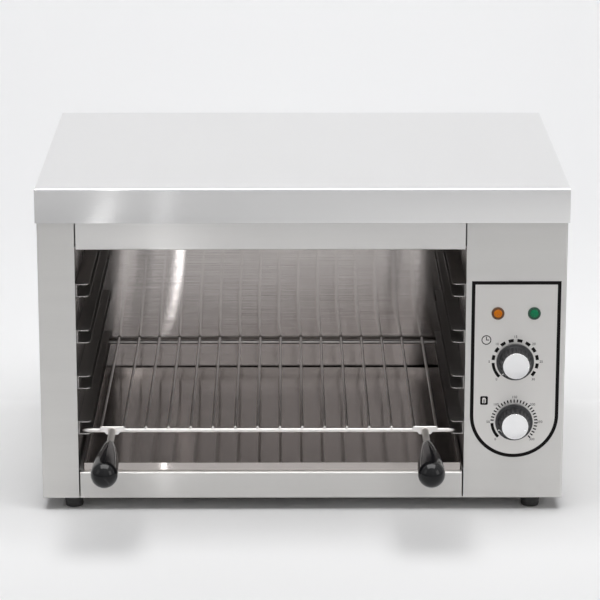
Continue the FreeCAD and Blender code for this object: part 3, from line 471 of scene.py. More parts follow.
def brushed(
    name, dark, light, rough, smear, scratch_deep=0.01, stretch=9.0, lines=900.0, top=0.3,
    twist=0.0,
):
    """Brushed sheet: two greys along the scratches, a range of roughness, a slight bow.

    The scratches' depth is in millimetres, about as many as lines says fit in a metre,
    and the bow's twist grows with the square of the distance from the height called top.
    """
    material, tree, shader = blank(name)
    shader.inputs["Metallic"].default_value = 1.0
    shader.inputs["Anisotropic"].default_value = smear
    tangent = put(tree, "CombineXYZ", [("Y", 0.02), ("Z", 1.0)])
    tree.links.new(tangent.outputs[0], shader.inputs["Tangent"])
    scratch = use(tree, brush, Stretch=stretch, Lines=lines)
    wiped = use(tree, handling, Size=5.0, Low=rough[0], High=rough[1])
    tone = calc(
        tree, "ADD", calc(tree, "MULTIPLY", scratch.outputs["Fine"], FINE_SHARE),
        calc(tree, "MULTIPLY", scratch.outputs["Broad"], BROAD_SHARE),
    )
    coloured(tree, shader, tone, dark, light, wiped)
    bent = use(tree, bow, Top=top, Twist=twist)
    depth = calc(tree, "MULTIPLY", scratch.outputs["Fine"], scratch_deep * MM)
    height = calc(tree, "ADD", depth, bent.outputs["Height"])
    relief(tree, shader, height, 1.0, 1.0, NARROW_FILTER)
    return material


hood_steel = brushed(
    "hood_steel", (0.86, 0.855, 0.85), (0.92, 0.915, 0.91), (0.13, 0.15), 1.0, 0.05,
    top=0.36, twist=3.5,
)
casing_steel = brushed(
    "casing_steel", (0.62, 0.61, 0.595), (0.69, 0.68, 0.66), (0.32, 0.36), 0.9,
)
fascia_steel = brushed(
    "fascia_steel", (0.70, 0.69, 0.675), (0.77, 0.76, 0.745), (0.30, 0.34), 0.9,
)
panel_steel = brushed(
    "panel_steel", (0.68, 0.665, 0.645), (0.72, 0.705, 0.685), (0.36, 0.40), 0.6,
)
cavity_steel = brushed(
    "cavity_steel", (0.50, 0.465, 0.45), (0.58, 0.545, 0.53), (0.03, 0.045), 1.0, 0.08,
    stretch=1.5, lines=1400.0, top=0.29, twist=0.4,
)
# Painted shade: the cavity's side walls are the same steel, given a much darker colour for the shade
# inside the cavity.
painted_shade_wall_steel = brushed(
    "painted_shade_wall_steel", (0.22, 0.21, 0.205), (0.27, 0.26, 0.25), (0.24, 0.30), 0.6,
)
runner_steel = brushed(
    "runner_steel", (0.40, 0.39, 0.38), (0.50, 0.485, 0.47), (0.32, 0.38), 0.4,
)
# Painted shade: the crumb tray's steel has a darker colour than the outer sheet, for the dark cavity
# round it.
tray_steel = brushed(
    "tray_steel", (0.47, 0.435, 0.415), (0.55, 0.51, 0.49), (0.10, 0.13), 1.0, 0.10,
    stretch=4.0, lines=1400.0,
)
print("brushed finishes:", [made.name for made in bpy.data.materials if "steel" in made.name])

# %% Put the steel on the frame's own nodes


def dress(material, *names):
    """Give nodes of the fixed frame a material; their meshes stay as they are."""
    for name in names:
        if not nodes[name].material_slots:
            nodes[name].data.materials.append(material)
        for slot in nodes[name].material_slots:
            slot.material = material
    print(material.name, "on", ", ".join(names))


dress(hood_steel, "hood_cover")
dress(casing_steel, "left_casing", "right_casing", "deck_plate", "rear_panel", "bottom_plate")
dress(fascia_steel, "fascia_panel")
dress(panel_steel, "control_panel")
dress(cavity_steel, "cavity_back_wall", "ceiling_reflector")
dress(painted_shade_wall_steel, "cavity_left_wall", "cavity_right_wall")
dress(runner_steel, *[name for name in nodes if name.startswith("runner_")])
dress(tray_steel, "crumb_tray")

# %% [markdown]
# ## Paper of the sweep
#
# The paper is matt and faintly mottled.  Its colour holds painted light and shade: it is
# painted paler from the front up to a line just behind the grill, against the grill's own
# shadow, steps down a little there as a painted shade line, and stays nearly even from
# there up the wall.  Its brightness on the wall is lifted only for the camera and for
# mirrors, and a narrow glowing line painted on the table shows only in mirrors.  From
# behind or below the paper is clear, so a camera may walk all the way round the grill.

# %% Sweep paper
paper, tree, shader = blank("sweep_paper")
shader.inputs["Specular IOR Level"].default_value = 0.2
mottle = use(tree, handling, Size=3.0, Low=0.75, High=0.85)
place = put(tree, "SeparateXYZ", [(0, object_place(tree))])
# Painted light and shade: the paper is painted paler towards the grill, against its shadow, and a step
# darker just behind it.
SHADE_STEP_Y = float(high("hood_cover")[1]) + 0.003
depth = put(tree, "MapRange", [
    ("Value", place.outputs["Y"]), ("From Min", SHADE_STEP_Y - 1.0), ("From Max", SHADE_STEP_Y + 1.0),
])
shade = put(tree, "ValToRGB", [("Fac", depth.outputs[0])])
stops = shade.color_ramp.elements
stops[0].position, stops[0].color = 0.0, (0.78, 0.78, 0.785, 1)
stops[1].position, stops[1].color = 1.0, (0.90, 0.90, 0.91, 1)
for position, grey in ((0.40, 0.90), (0.498, 0.97), (0.5015, 0.93)):
    stop = stops.new(position)
    stop.color = (grey, grey, grey * 1.004, 1)
grain = put(tree, "MapRange", [
    ("Value", mottle.outputs["Cloud"]), ("To Min", 0.985), ("To Max", 1.015),
])
tinted = put(tree, "VectorMath", [
    (0, shade.outputs["Color"]), ("Scale", grain.outputs[0]),
], operation="SCALE")
tree.links.new(tinted.outputs[0], shader.inputs["Base Color"])
tree.links.new(mottle.outputs["Roughness"], shader.inputs["Roughness"])
glow = put(tree, "Emission", [("Color", (1.0, 1.0, 1.01, 1))])
path = put(tree, "LightPath")
mirrored = calc(tree, "MAXIMUM", path.outputs["Is Camera Ray"], path.outputs["Is Glossy Ray"])
far = put(tree, "MapRange", [
    ("Value", place.outputs["Y"]), ("From Min", 0.35), ("From Max", 2.6), ("To Max", 0.30),
])
# Painted light: a narrow line on the table glows for mirror rays only, with no lamp behind it.
LINE_X, LINE_LEAN, LINE_HALF = -0.159, 0.037, 0.0025
LINE_NEAR, LINE_END = -0.30, -0.95
LINE_BRIGHT = 10.0
lean = calc(tree, "MULTIPLY", calc(tree, "SUBTRACT", place.outputs["Y"], LINE_NEAR), LINE_LEAN)
line_x = calc(tree, "ADD", lean, LINE_X)
beside = calc(tree, "ABSOLUTE", calc(tree, "SUBTRACT", place.outputs["X"], line_x))
in_reach = calc(
    tree, "MULTIPLY", calc(tree, "LESS_THAN", place.outputs["Y"], LINE_NEAR),
    calc(tree, "GREATER_THAN", place.outputs["Y"], LINE_END),
)
on_line = calc(tree, "MULTIPLY", calc(tree, "LESS_THAN", beside, LINE_HALF), in_reach)
line = calc(
    tree, "MULTIPLY", calc(tree, "MULTIPLY", on_line, LINE_BRIGHT), path.outputs["Is Glossy Ray"],
)
lift = calc(tree, "ADD", line, calc(tree, "MULTIPLY", far.outputs[0], mirrored))
tree.links.new(lift, glow.inputs["Strength"])
both = put(tree, "AddShader", [(0, shader.outputs[0]), (1, glow.outputs[0])])
from_behind = calc(
    tree, "MULTIPLY", put(tree, "NewGeometry").outputs["Backfacing"], path.outputs["Is Camera Ray"],
)
clear = put(tree, "BsdfTransparent")
one_way = put(tree, "MixShader", [(0, from_behind), (1, both.outputs[0]), (2, clear.outputs[0])])
tree.links.new(one_way.outputs[0], tree.nodes["Material Output"].inputs["Surface"])
floor.data.materials.append(paper)
print("paper:", len(tree.nodes), "nodes")

# %% [markdown]
# ## Turned shapes
#
# Knobs, caps, grips, feet, lamps, screws and the gland are all lathe shapes: a profile
# of radius and height carried round an axis.  Finger flutes and hexagons are the same
# shape with a radius that also changes with the angle.

# %% Turned surfaces


def turned(profile, origin, axis, sides=64, cut=None, pattern=None):
    """A lathe surface: origin + h * axis + r * (cos a * u + sin a * v).

    The profile lists (r, h) in millimetres.  Where a cut depth is given for each of its
    points, r loses that depth times pattern(a).
    """
    axis = np.array(axis, float)
    u = RIGHT if abs(axis[0]) < 0.5 else BACK
    v = np.cross(axis, u)
    a = np.linspace(0, 2 * np.pi, sides, endpoint=False)
    profile = np.array(profile, float) * MM
    r, h = profile[:, :1], profile[:, 1:2]
    r = np.repeat(r, sides, axis=1)
    if pattern is not None:
        r = r - np.array(cut)[:, None] * MM * pattern(a)
    ring = np.cos(a)[:, None] * u + np.sin(a)[:, None] * v
    points = np.array(origin, float) + h[..., None] * axis + r[..., None] * ring
    return points, False, True


def arc(centre_r, centre_h, radius, start, stop, count=6):
    """Profile points on a circle: centre + radius * (cos t, sin t), in degrees."""
    t = np.radians(np.linspace(start, stop, count))
    return np.stack([centre_r + radius * np.cos(t), centre_h + radius * np.sin(t)], axis=1).tolist()


# %% [markdown]
# ## Knobs
#
# Each knob is one moulding: a round skirt that covers the hole, and a slightly tapered
# body with twenty finger flutes and a rim that holds a spun metal cap.  The flutes are
# the square of a cosine wave round the body, which leaves rounded ribs between them.  A
# line painted along one rib points at the scale.  The moulding's finish is two close
# shades with a fine grain; the cap's is rings smeared along the radius, as spinning
# leaves them, so it takes its tangent from the way out from its centre.

# %% Knob moulding
SKIRT_R, SKIRT_LOW, SKIRT_TOP = 20.25, 0.6, 3.1
BODY_R, RIM_R, KNOB_TOP = 17.6, 15.3, 17.0
CAP_R, CAP_SEAT, CAP_TOP = 14.3, 16.1, 17.5
FLUTES, FLUTE_DEEP = 20, 1.1
SHAFT_R, SHAFT_END = 3.05, 12.0
SKIRT_EDGE, SKIRT_ROUND, FILLET, RIM_ROUND, CAP_PLAY = 0.5, 0.7, 0.6, 0.6, 0.06
BORE = [(0, SHAFT_END), (SHAFT_R, SHAFT_END), (SHAFT_R, SKIRT_LOW)]


def finger_flutes(a):
    """Zero on a rib, one in a flute: the square of a raised cosine, FLUTES times round."""
    return (0.5 + 0.5 * np.cos(FLUTES * a)) ** 2


def knob_moulding(name, axis_node):
    """Skirt, fluted body and rim as one closed lathe surface, from the bore outwards."""
    axis_at = on_plate(axis_node)
    skirt = arc(SKIRT_R - SKIRT_EDGE, SKIRT_LOW + SKIRT_EDGE, SKIRT_EDGE, -90, 0)
    skirt += arc(SKIRT_R - SKIRT_ROUND, SKIRT_TOP - SKIRT_ROUND, SKIRT_ROUND, 0, 90)
    foot = arc(BODY_R + FILLET, SKIRT_TOP + FILLET, FILLET, 270, 180, 5)
    flank_h = np.linspace(SKIRT_TOP + 1.0, KNOB_TOP - 0.9, 9)
    flank_r = np.interp(flank_h, (SKIRT_TOP, KNOB_TOP), (BODY_R, RIM_R))
    flank = np.stack([flank_r, flank_h], axis=1).tolist()
    rim = arc(RIM_R - RIM_ROUND, KNOB_TOP - RIM_ROUND, RIM_ROUND, 10, 90, 5)
    seat = [(CAP_R + CAP_PLAY, KNOB_TOP), (CAP_R + CAP_PLAY, CAP_SEAT), (0, CAP_SEAT)]
    profile = BORE + skirt + foot + flank + rim + seat
    depth = np.zeros(len(profile))
    first = len(BORE) + len(skirt) + len(foot)
    last = first + len(flank)
    depth[first:last] = FLUTE_DEEP * np.clip(np.linspace(0, 4, len(flank)), 0, 1)
    depth[last:last + len(rim)] = np.linspace(1, 0.1, len(rim)) * FLUTE_DEEP * 0.6
    return mesh_piece(name, [turned(profile, axis_at, FRONT, 240, depth, finger_flutes)])


# %% Index line on a knob
INDEX_WIDE, INDEX_PROUD = 1.3, 0.12


def capped_band(ring):
    """A band of four-cornered sections, closed by a flat end at each of its two ends."""
    ends = [(ring[end][[0, 1, 3, 2]].reshape(2, 2, 3), False, False) for end in (0, -1)]
    return [(ring, False, True)] + ends


def index_line(name, axis_node, angle):
    """A painted line up one rib: a flat band across the skirt and along the flank."""
    axis_at = on_plate(axis_node)
    t = math.radians(angle)
    out = math.cos(t) * RIGHT + math.sin(t) * UP
    side = -math.sin(t) * RIGHT + math.cos(t) * UP
    run = np.array([
        (SKIRT_R - 0.8, SKIRT_TOP), (BODY_R + 0.9, SKIRT_TOP),
        (BODY_R - 0.15, SKIRT_TOP + 1.0), (RIM_R + 0.12, KNOB_TOP - 1.2),
    ])
    lean = np.array([(0, 1), (0.5, 1), (1, 0.3), (1, 0.15)], float)
    lean /= np.linalg.norm(lean, axis=1)[:, None]
    lifted = run + lean * INDEX_PROUD
    sunk = run - lean * INDEX_PROUD
    half = side * INDEX_WIDE / 2
    corners = [(sunk, -half), (lifted, -half), (lifted, half), (sunk, half)]
    ring = np.stack([line[:, :1] * out - line[:, 1:] * BACK + step for line, step in corners], axis=1)
    return mesh_piece(name, capped_band(ring * MM + axis_at), smooth=False)


# %% Spun cap
CAP_ROUND = 0.35
cap_profile = [(0, CAP_SEAT), (CAP_R - 0.2, CAP_SEAT)]
cap_profile += arc(CAP_R - CAP_ROUND, CAP_TOP - CAP_ROUND, CAP_ROUND, 0, 90, 5)
cap_profile += [(CAP_R - 0.9, CAP_TOP - 0.02), (CAP_R - 1.2, CAP_TOP - 0.1)]
cap_profile += [(6, CAP_TOP - 0.16), (0, CAP_TOP - 0.2)]


def knob_cap(name, axis_node):
    """A thin disc with a rounded edge, very slightly dished, as one lathe surface."""
    axis_at = on_plate(axis_node)
    return mesh_piece(name, [turned(cap_profile, axis_at, FRONT, 96)])


# %% Moulded and spun finishes
SPECK_DEEP = 0.05 * MM


def speckled(tree, shader, scale, strength):
    """A fine even grain as relief."""
    speck = put(tree, "TexNoise", [
        ("Vector", object_place(tree)), ("Scale", scale), ("Detail", 2.0),
    ])
    relief(tree, shader, speck.outputs["Fac"], strength, SPECK_DEEP)


def moulded(name, dark, light, rough, coat=0.0, bump=0.05, grain=1800.0, shine=0.5):
    """Moulded plastic or rubber: two close shades, a fine grain and uneven gloss."""
    material, tree, shader = blank(name)
    shader.inputs["Specular IOR Level"].default_value = shine
    shader.inputs["Coat Weight"].default_value = coat
    shader.inputs["Coat Roughness"].default_value = 0.06
    worn = use(tree, handling, Size=60.0, Low=rough[0], High=rough[1])
    coloured(tree, shader, worn.outputs["Cloud"], dark, light, worn)
    speckled(tree, shader, grain, bump)
    return material


def spun(name, centre, dark, light, rough, smear):
    """Spun or turned metal: rings about a centre, smeared along the radius."""
    material, tree, shader = blank(name)
    shader.inputs["Metallic"].default_value = 1.0
    shader.inputs["Anisotropic"].default_value = smear
    lathe = use(tree, rings, Centre=tuple(centre))
    wiped = use(tree, handling, Size=90.0, Low=rough[0], High=rough[1])
    coloured(tree, shader, lathe.outputs["Height"], dark, light, wiped)
    away = vector_calc(tree, "SUBTRACT", object_place(tree), tuple(centre))
    outward = put(
        tree, "VectorTransform", [(0, vector_calc(tree, "MULTIPLY", away, (1.0, 0.0, 1.0)))],
        vector_type="VECTOR", convert_from="OBJECT", convert_to="WORLD",
    )
    tree.links.new(outward.outputs[0], shader.inputs["Tangent"])
    relief(tree, shader, lathe.outputs["Height"], 0.08, 0.02 * MM)
    return material


knob_plastic = moulded(
    "knob_plastic", (0.018, 0.018, 0.020), (0.030, 0.030, 0.033), (0.28, 0.38), 0.25,
)
index_paint = moulded(
    "index_paint", (0.80, 0.80, 0.78), (0.86, 0.86, 0.84), (0.4, 0.5), bump=0.02,
)

# %% Make both knobs
for dial, index_angle in (("timer", 225), ("thermostat", 207)):
    body = f"{dial}_knob"
    moulding = knob_moulding(f"{dial}_knob_moulding", body)
    settle(moulding, body, knob_plastic, [body])
    pointer = index_line(f"{dial}_index_line", body, index_angle)
    settle(pointer, body, index_paint)
    metal = spun(
        f"{dial}_cap_metal", middle(f"{dial}_knob_cap"), (0.86, 0.86, 0.87), (0.98, 0.98, 0.98),
        (0.20, 0.26), 0.75,
    )
    settle(knob_cap(f"{dial}_spun_cap", body), body, metal, [f"{dial}_knob_cap"])

# %% [markdown]
# ## Pilot lamps
#
# Each lamp is a small coloured dome in a collar of the same tint, so the whole lamp
# reads as one coloured bead with a darker edge.

# %% Lamp shapes
LENS_R, LENS_FLANK, LENS_TALL = 4.6, 1.2, 2.8
BEZEL_R, BEZEL_TALL, BEZEL_ROUND, LIP_ROUND = 7.0, 1.8, 0.9, 0.5
t = np.radians(np.linspace(10, 90, 9))
dome_r = LENS_R * np.cos(t)
dome_h = LENS_FLANK + (LENS_TALL - LENS_FLANK) * np.sin(t)
lens_profile = [(0, 0), (LENS_R, 0), (LENS_R, LENS_FLANK)]
lens_profile += np.stack([dome_r, dome_h], axis=1).tolist()
bezel_profile = [(LENS_R, 0), (BEZEL_R - 0.1, 0)]
bezel_profile += arc(BEZEL_R - BEZEL_ROUND, BEZEL_TALL - BEZEL_ROUND, BEZEL_ROUND, 0, 90)
bezel_profile += arc(LENS_R + LIP_ROUND, BEZEL_TALL - LIP_ROUND, LIP_ROUND, 90, 180, 4)
bezel_profile += [(LENS_R, 0)]

# %% Lamp finish and pieces


def lamp_plastic(name, dark, light):
    """Clear tinted plastic: a deep colour under a glossy coat, with faint facets."""
    material, tree, shader = blank(name)
    shader.inputs["Specular IOR Level"].default_value = 0.2
    shader.inputs["Coat Weight"].default_value = 0.15
    shader.inputs["Coat Roughness"].default_value = 0.05
    facet = put(tree, "TexVoronoi", [("Vector", object_place(tree)), ("Scale", 900.0)])
    wiped = use(tree, handling, Size=120.0, Low=0.22, High=0.32)
    coloured(tree, shader, facet.outputs["Distance"], light, dark, wiped)
    relief(tree, shader, facet.outputs["Distance"], 0.15, 0.2 * MM)
    return material


amber = lamp_plastic("amber_glass", (0.62, 0.15, 0.0), (0.84, 0.25, 0.002))
green = lamp_plastic("green_glass", (0.0, 0.18, 0.07), (0.0, 0.28, 0.11))
lamp_places = [on_plate("amber_lamp_lens"), on_plate("green_lamp_lens")]
for name, material, at in zip(("amber", "green"), (amber, green), lamp_places):
    dome = mesh_piece(f"{name}_lamp_dome", [turned(lens_profile, at, FRONT, 48)])
    settle(dome, "root", material, [f"{name}_lamp_lens"])

collars = mesh_piece("lamp_collars", [turned(bezel_profile, at, FRONT, 56) for at in lamp_places])
collar_plastic, tree, shader = blank("collar_plastic")
shader.inputs["Coat Weight"].default_value = 0.4
across_plate = put(tree, "SeparateXYZ", [(0, object_place(tree))]).outputs["X"]
halfway = float((lamp_places[0][0] + lamp_places[1][0]) / 2)
is_green = calc(tree, "GREATER_THAN", across_plate, halfway)
wiped = use(tree, handling, Size=120.0, Low=0.25, High=0.35)
coloured(tree, shader, is_green, (0.13, 0.045, 0.002), (0.0, 0.065, 0.03), wiped)
settle(collars, "root", collar_plastic, ["lamp_bezels"])

# %% [markdown]
# ## Printing on the control plate
#
# The print is thick screen ink: a border with a round lower end, two scales and two
# signs.  Each mark is a band between an outer and an inner outline with the same number
# of points, raised a tenth of a millimetre so that it is a real shape.

# %% Bands of ink
INK = 0.12


def band(outer, inner, closed):
    """A raised band between two outlines of (x, z), in metres, on the plate's face."""
    back_y, front_y = plate_front + 0.02 * MM, plate_front - INK * MM
    corners = ((outer, back_y), (outer, front_y), (inner, front_y), (inner, back_y))
    ring = np.stack([
        np.stack([line[:, 0], np.full(len(line), y), line[:, 1]], axis=-1) for line, y in corners
    ], axis=1)
    return [(ring, True, True)] if closed else capped_band(ring)


def circle_line(centre, radius, start, stop, count):
    """Points centre + radius * (cos t, sin t) from one angle to another, in degrees."""
    t = np.radians(np.linspace(start, stop, count))
    return np.array(centre) + radius * MM * np.stack([np.cos(t), np.sin(t)], axis=1)


def scale_mark(centre, inner, outer, start, stop, count=8):
    """A piece of a ring between two radii and two angles."""
    return band(
        circle_line(centre, outer, start, stop, count),
        circle_line(centre, inner, start, stop, count), False,
    )


def stroke(start, end, width):
    """A straight mark from start to end."""
    start, end = np.array(start), np.array(end)
    along = (end - start) / np.linalg.norm(end - start)
    half = np.array([-along[1], along[0]]) * width * MM / 2
    return band(np.array([start + half, end + half]), np.array([start - half, end - half]), False)


def plate_border(inset):
    """The plate's outline moved inwards: two square corners above, a half circle below."""
    left, right = plate_low[0] + inset * MM, plate_high[0] - inset * MM
    top = plate_high[2] - inset * MM
    radius = (plate_high[0] - plate_low[0]) / 2
    centre = ((plate_low[0] + plate_high[0]) / 2, plate_low[2] + radius)
    round_end = circle_line(centre, radius / MM - inset, 0, -180, 65)
    return np.concatenate([[(left, top), (right, top)], round_end])


def rounded_square(centre, half_wide, half_high, corner):
    """Four quarter circles joined by straight sides."""
    t = np.linspace(0, 2 * np.pi, 32, endpoint=False) + np.pi / 32
    spoke = np.stack([np.cos(t), np.sin(t)], axis=1)
    middles_at = np.sign(spoke) * (half_wide - corner, half_high - corner)
    return np.array(centre) + MM * (middles_at + corner * spoke)


# %% Border, scales and signs
BORDER_WIDE = 3.8
SCALE_START = 225
ARC_IN, ARC_OUT, ARC_STOP = 22.2, 25.4, 183
DASHES, DASH_OUT, DASH_FIRST, DASH_STEP, DASH_HALF = 10, 25.6, 168.75, 22.5, 6.6
TICKS, TICK_IN, TICK_OUT, TICK_FIRST, TICK_LAST, TICK_HALF = 27, 22.0, 25.5, 175, -45, 1.7
ink = band(plate_border(0.0), plate_border(BORDER_WIDE), True)
timer_at = middle("timer_knob")[[0, 2]]
thermostat_at = middle("thermostat_knob")[[0, 2]]
for centre in (timer_at, thermostat_at):
    ink += scale_mark(centre, ARC_IN, ARC_OUT, SCALE_START, ARC_STOP, 14)
for k in range(DASHES):
    dash = DASH_FIRST - DASH_STEP * k
    ink += scale_mark(timer_at, ARC_IN, DASH_OUT, dash + DASH_HALF, dash - DASH_HALF, 6)
for tick in np.linspace(TICK_FIRST, TICK_LAST, TICKS):
    ink += scale_mark(thermostat_at, TICK_IN, TICK_OUT, tick + TICK_HALF, tick - TICK_HALF, 3)
clock_at = timer_at + np.array((-31.4, 24.4)) * MM
clock_face = [circle_line(clock_at, radius, 0, 348, 30) for radius in (5.3, 4.3)]
ink += band(*clock_face, True)
ink += stroke(clock_at - (0, 0.5 * MM), clock_at + (0, 3.6 * MM), 0.9)
ink += stroke(clock_at - (0.3 * MM, 0), clock_at + (3.0 * MM, 0), 0.9)
sign_at = thermostat_at + np.array((-32.8, 24.3)) * MM
frame_out, frame_in = rounded_square(sign_at, 4.2, 4.9, 1.6), rounded_square(sign_at, 1.9, 3.1, 1.2)
ink += band(frame_out, frame_in, True)
ink += stroke(sign_at - (0, 3.2 * MM), sign_at + (0, 1.2 * MM), 1.1)
print(len(ink), "patches of ink")

# %% Print them
panel_ink = moulded(
    "panel_ink", (0.004, 0.003, 0.003), (0.008, 0.006, 0.006), (0.42, 0.52),
    bump=0.03, shine=0.12,
)
settle(mesh_piece("plate_printing", ink, smooth=False), "root", panel_ink)

# %% [markdown]
# ## Numbers
#
# The numbers are text, made a mesh first and then moved to their places round the
# scales: number k sits at its angle, one radius out for all.

# %% Numbers round the scales
NUMBER_HIGH, NUMBER_RADIUS, SCALE_STEP = 2.9, 28.0, 45
FONT_SHARE = 1.35


def corner_rows(mesh):
    """A mesh's corners as an array of (x, y, z)."""
    flat = np.empty(len(mesh.vertices) * 3)
    mesh.vertices.foreach_get("co", flat)
    return flat.reshape(-1, 3)


def number_mesh(text, at):
    """Corners and faces of one number, centred on a place of the plate."""
    curve = bpy.data.curves.new("number", "FONT")
    curve.body = text
    curve.size = NUMBER_HIGH * FONT_SHARE
    curve.align_x = curve.align_y = "CENTER"
    curve.extrude = INK / 2
    curve.resolution_u = 3
    holder = bpy.data.objects.new("number", curve)
    bpy.context.collection.objects.link(holder)
    graph = bpy.context.evaluated_depsgraph_get()
    mesh = bpy.data.meshes.new_from_object(holder.evaluated_get(graph))
    x, y, z = corner_rows(mesh).T * MM
    faces = [list(face.vertices) for face in mesh.polygons]
    bpy.data.meshes.remove(mesh)
    bpy.data.objects.remove(holder)
    bpy.data.curves.remove(curve)
    placed = np.stack([at[0] + x, plate_front - INK / 2 * MM - z, at[1] + y], axis=1)
    return placed, faces


def numbers_piece(name, labels):
    """All numbers joined to one mesh, with their doubled corners merged."""
    points, faces, start = [], [], 0
    for text, at in labels:
        placed, own = number_mesh(text, at)
        points.append(placed)
        faces += [[corner + start for corner in face] for face in own]
        start += len(placed)
    mesh = bpy.data.meshes.new(name)
    mesh.from_pydata(np.concatenate(points).tolist(), [], faces)
    work = bmesh.new()
    work.from_mesh(mesh)
    bmesh.ops.remove_doubles(work, verts=work.verts, dist=0.001 * MM)
    bmesh.ops.recalc_face_normals(work, faces=work.faces)
    work.to_mesh(mesh)
    work.free()
    piece = bpy.data.objects.new(name, mesh)
    bpy.context.collection.objects.link(piece)
    return piece


labels = []
for centre, step in ((timer_at, 5), (thermostat_at, 50)):
    for k in range(7):
        at = centre + circle_line((0, 0), NUMBER_RADIUS, SCALE_START - SCALE_STEP * k, 0, 2)[0]
        labels.append((str(step * k), at))
settle(numbers_piece("dial_numbers", labels), "root", panel_ink)

# %% [markdown]
# ## The wire rack
#
# Two plated cross rods carry sixteen wires, spot-welded on top.  Rod ends are nosed so
# that they slide into the runners.  Each weld leaves a small flattened bead.

# %% Rods and wires


def nosed_rod(start, end, radius, nose, sides=20):
    """A straight rod whose ends are half ellipsoids, nose times the radius long."""
    start, end = np.array(start, float), np.array(end, float)
    length = np.linalg.norm(end - start) / MM
    t = np.linspace(0, np.pi / 2, 7)
    first = np.stack([radius * np.sin(t), nose * radius * (1 - np.cos(t))], axis=1)
    last = np.stack([radius * np.cos(t), length - nose * radius * (1 - np.sin(t))], axis=1)
    return turned(np.concatenate([first, last]), start, (end - start) / (length * MM), sides)


def plated(name, dark, light, rough):
    """Bright plated metal: two close greys in slow clouds, with faint drawing marks."""
    material, tree, shader = blank(name)
    shader.inputs["Metallic"].default_value = 1.0
    marks = use(tree, handling, Size=45.0, Low=rough[0], High=rough[1])
    coloured(tree, shader, marks.outputs["Cloud"], dark, light, marks)
    speckled(tree, shader, 700.0, 0.05)
    return material


rack_wire = plated("rack_wire", (0.78, 0.76, 0.74), (0.88, 0.86, 0.84), (0.30, 0.38))
stud_zinc = plated("stud_zinc", (0.72, 0.69, 0.66), (0.84, 0.81, 0.78), (0.42, 0.52))

# %% Make the rack
CROSS_R, WIRE_R, WIRE_COUNT = 2.5, 1.5, 16
NOSES = {"front": 3.2, "rear": 1.6}
for end_name, nose in NOSES.items():
    node = f"rack_{end_name}_rod"
    centre_line = middle(node) * (0, 1, 1)
    ends = (centre_line + RIGHT * low(node)[0], centre_line + RIGHT * high(node)[0])
    rod = mesh_piece(f"rack_{end_name}_crossbar", [nosed_rod(*ends, CROSS_R, nose, 28)])
    settle(rod, "rack", rack_wire, [node])

wires_low, wires_high = low("rack_wires"), high("rack_wires")
wire_z = (wires_low[2] + wires_high[2]) / 2
wire_x = np.linspace(wires_low[0] + WIRE_R * MM, wires_high[0] - WIRE_R * MM, WIRE_COUNT)
wires = [
    nosed_rod((x, wires_low[1], wire_z), (x, wires_high[1], wire_z), WIRE_R, 0.7) for x in wire_x
]
settle(mesh_piece("rack_wire_set", wires), "rack", rack_wire, ["rack_wires"])

# %% Weld beads


def bead(centre, radii, rows=7, sides=14):
    """An ellipsoid: centre + (a cos p cos t, b cos p sin t, c sin p)."""
    p = np.linspace(-np.pi / 2, np.pi / 2, rows)[:, None]
    t = np.linspace(0, 2 * np.pi, sides, endpoint=False)[None, :]
    unit = np.stack([np.cos(p) * np.cos(t), np.cos(p) * np.sin(t), np.sin(p) + 0 * t], axis=-1)
    return np.array(centre) + unit * np.array(radii) * MM, False, True


BEAD = (2.1, 2.2, 1.1)
weld_z = wire_z - BEAD[2] * MM
beads = [
    bead((x, middle(f"rack_{end_name}_rod")[1], weld_z), BEAD)
    for end_name in NOSES for x in wire_x
]
settle(mesh_piece("weld_beads", beads), "rack", rack_wire)

# %% [markdown]
# ## Handles
#
# A small pressed plate is welded across the front rod and the two outer wires.  A stud
# runs forward from it into a long black grip that swells into a ball.  The plate is a
# rounded outline with bevelled edges; stud and grip are lathe shapes.

# %% Bracket plates


def rounded_outline(corners, count=5):
    """A closed outline: each corner (x, z, radius) becomes an arc tangent to both sides."""
    corners = np.array(corners, float)
    points, radii = corners[:, :2], corners[:, 2]
    before = np.roll(points, 1, axis=0) - points
    after = np.roll(points, -1, axis=0) - points
    before /= np.linalg.norm(before, axis=1)[:, None]
    after /= np.linalg.norm(after, axis=1)[:, None]
    half = np.arccos(np.clip((before * after).sum(1), -1, 1)) / 2
    toward = before + after
    toward /= np.linalg.norm(toward, axis=1)[:, None]
    centre = points + toward * (radii / np.sin(half))[:, None]
    run = (radii / np.tan(half))[:, None]
    first, last = points + before * run, points + after * run
    share = np.linspace(0, 1, count)[None, :, None]
    spoke = (first - centre)[:, None] * (1 - share) + (last - centre)[:, None] * share
    spoke *= radii[:, None, None] / np.linalg.norm(spoke, axis=2)[..., None]
    return (centre[:, None] + spoke).reshape(-1, 2)


def plate(outline, front_y, back_y, origin, bevel=0.45):
    """An outline (x, z) given depth: pole, inset edge, full edge, and the same behind."""
    span = np.abs(outline).max(axis=0)
    inset = outline * (1 - bevel / span)
    layers = [
        (outline * 0, front_y), (inset * 0.93, front_y), (inset, front_y),
        (outline, front_y + bevel * MM), (outline, back_y - bevel * MM),
        (inset, back_y), (outline * 0, back_y),
    ]
    flat_origin = np.array(origin) * (1, 0, 1)
    grid = np.stack([
        flat_origin + MM * (line[:, :1] * RIGHT + line[:, 1:] * UP) + y * BACK for line, y in layers
    ])
    return grid, False, True


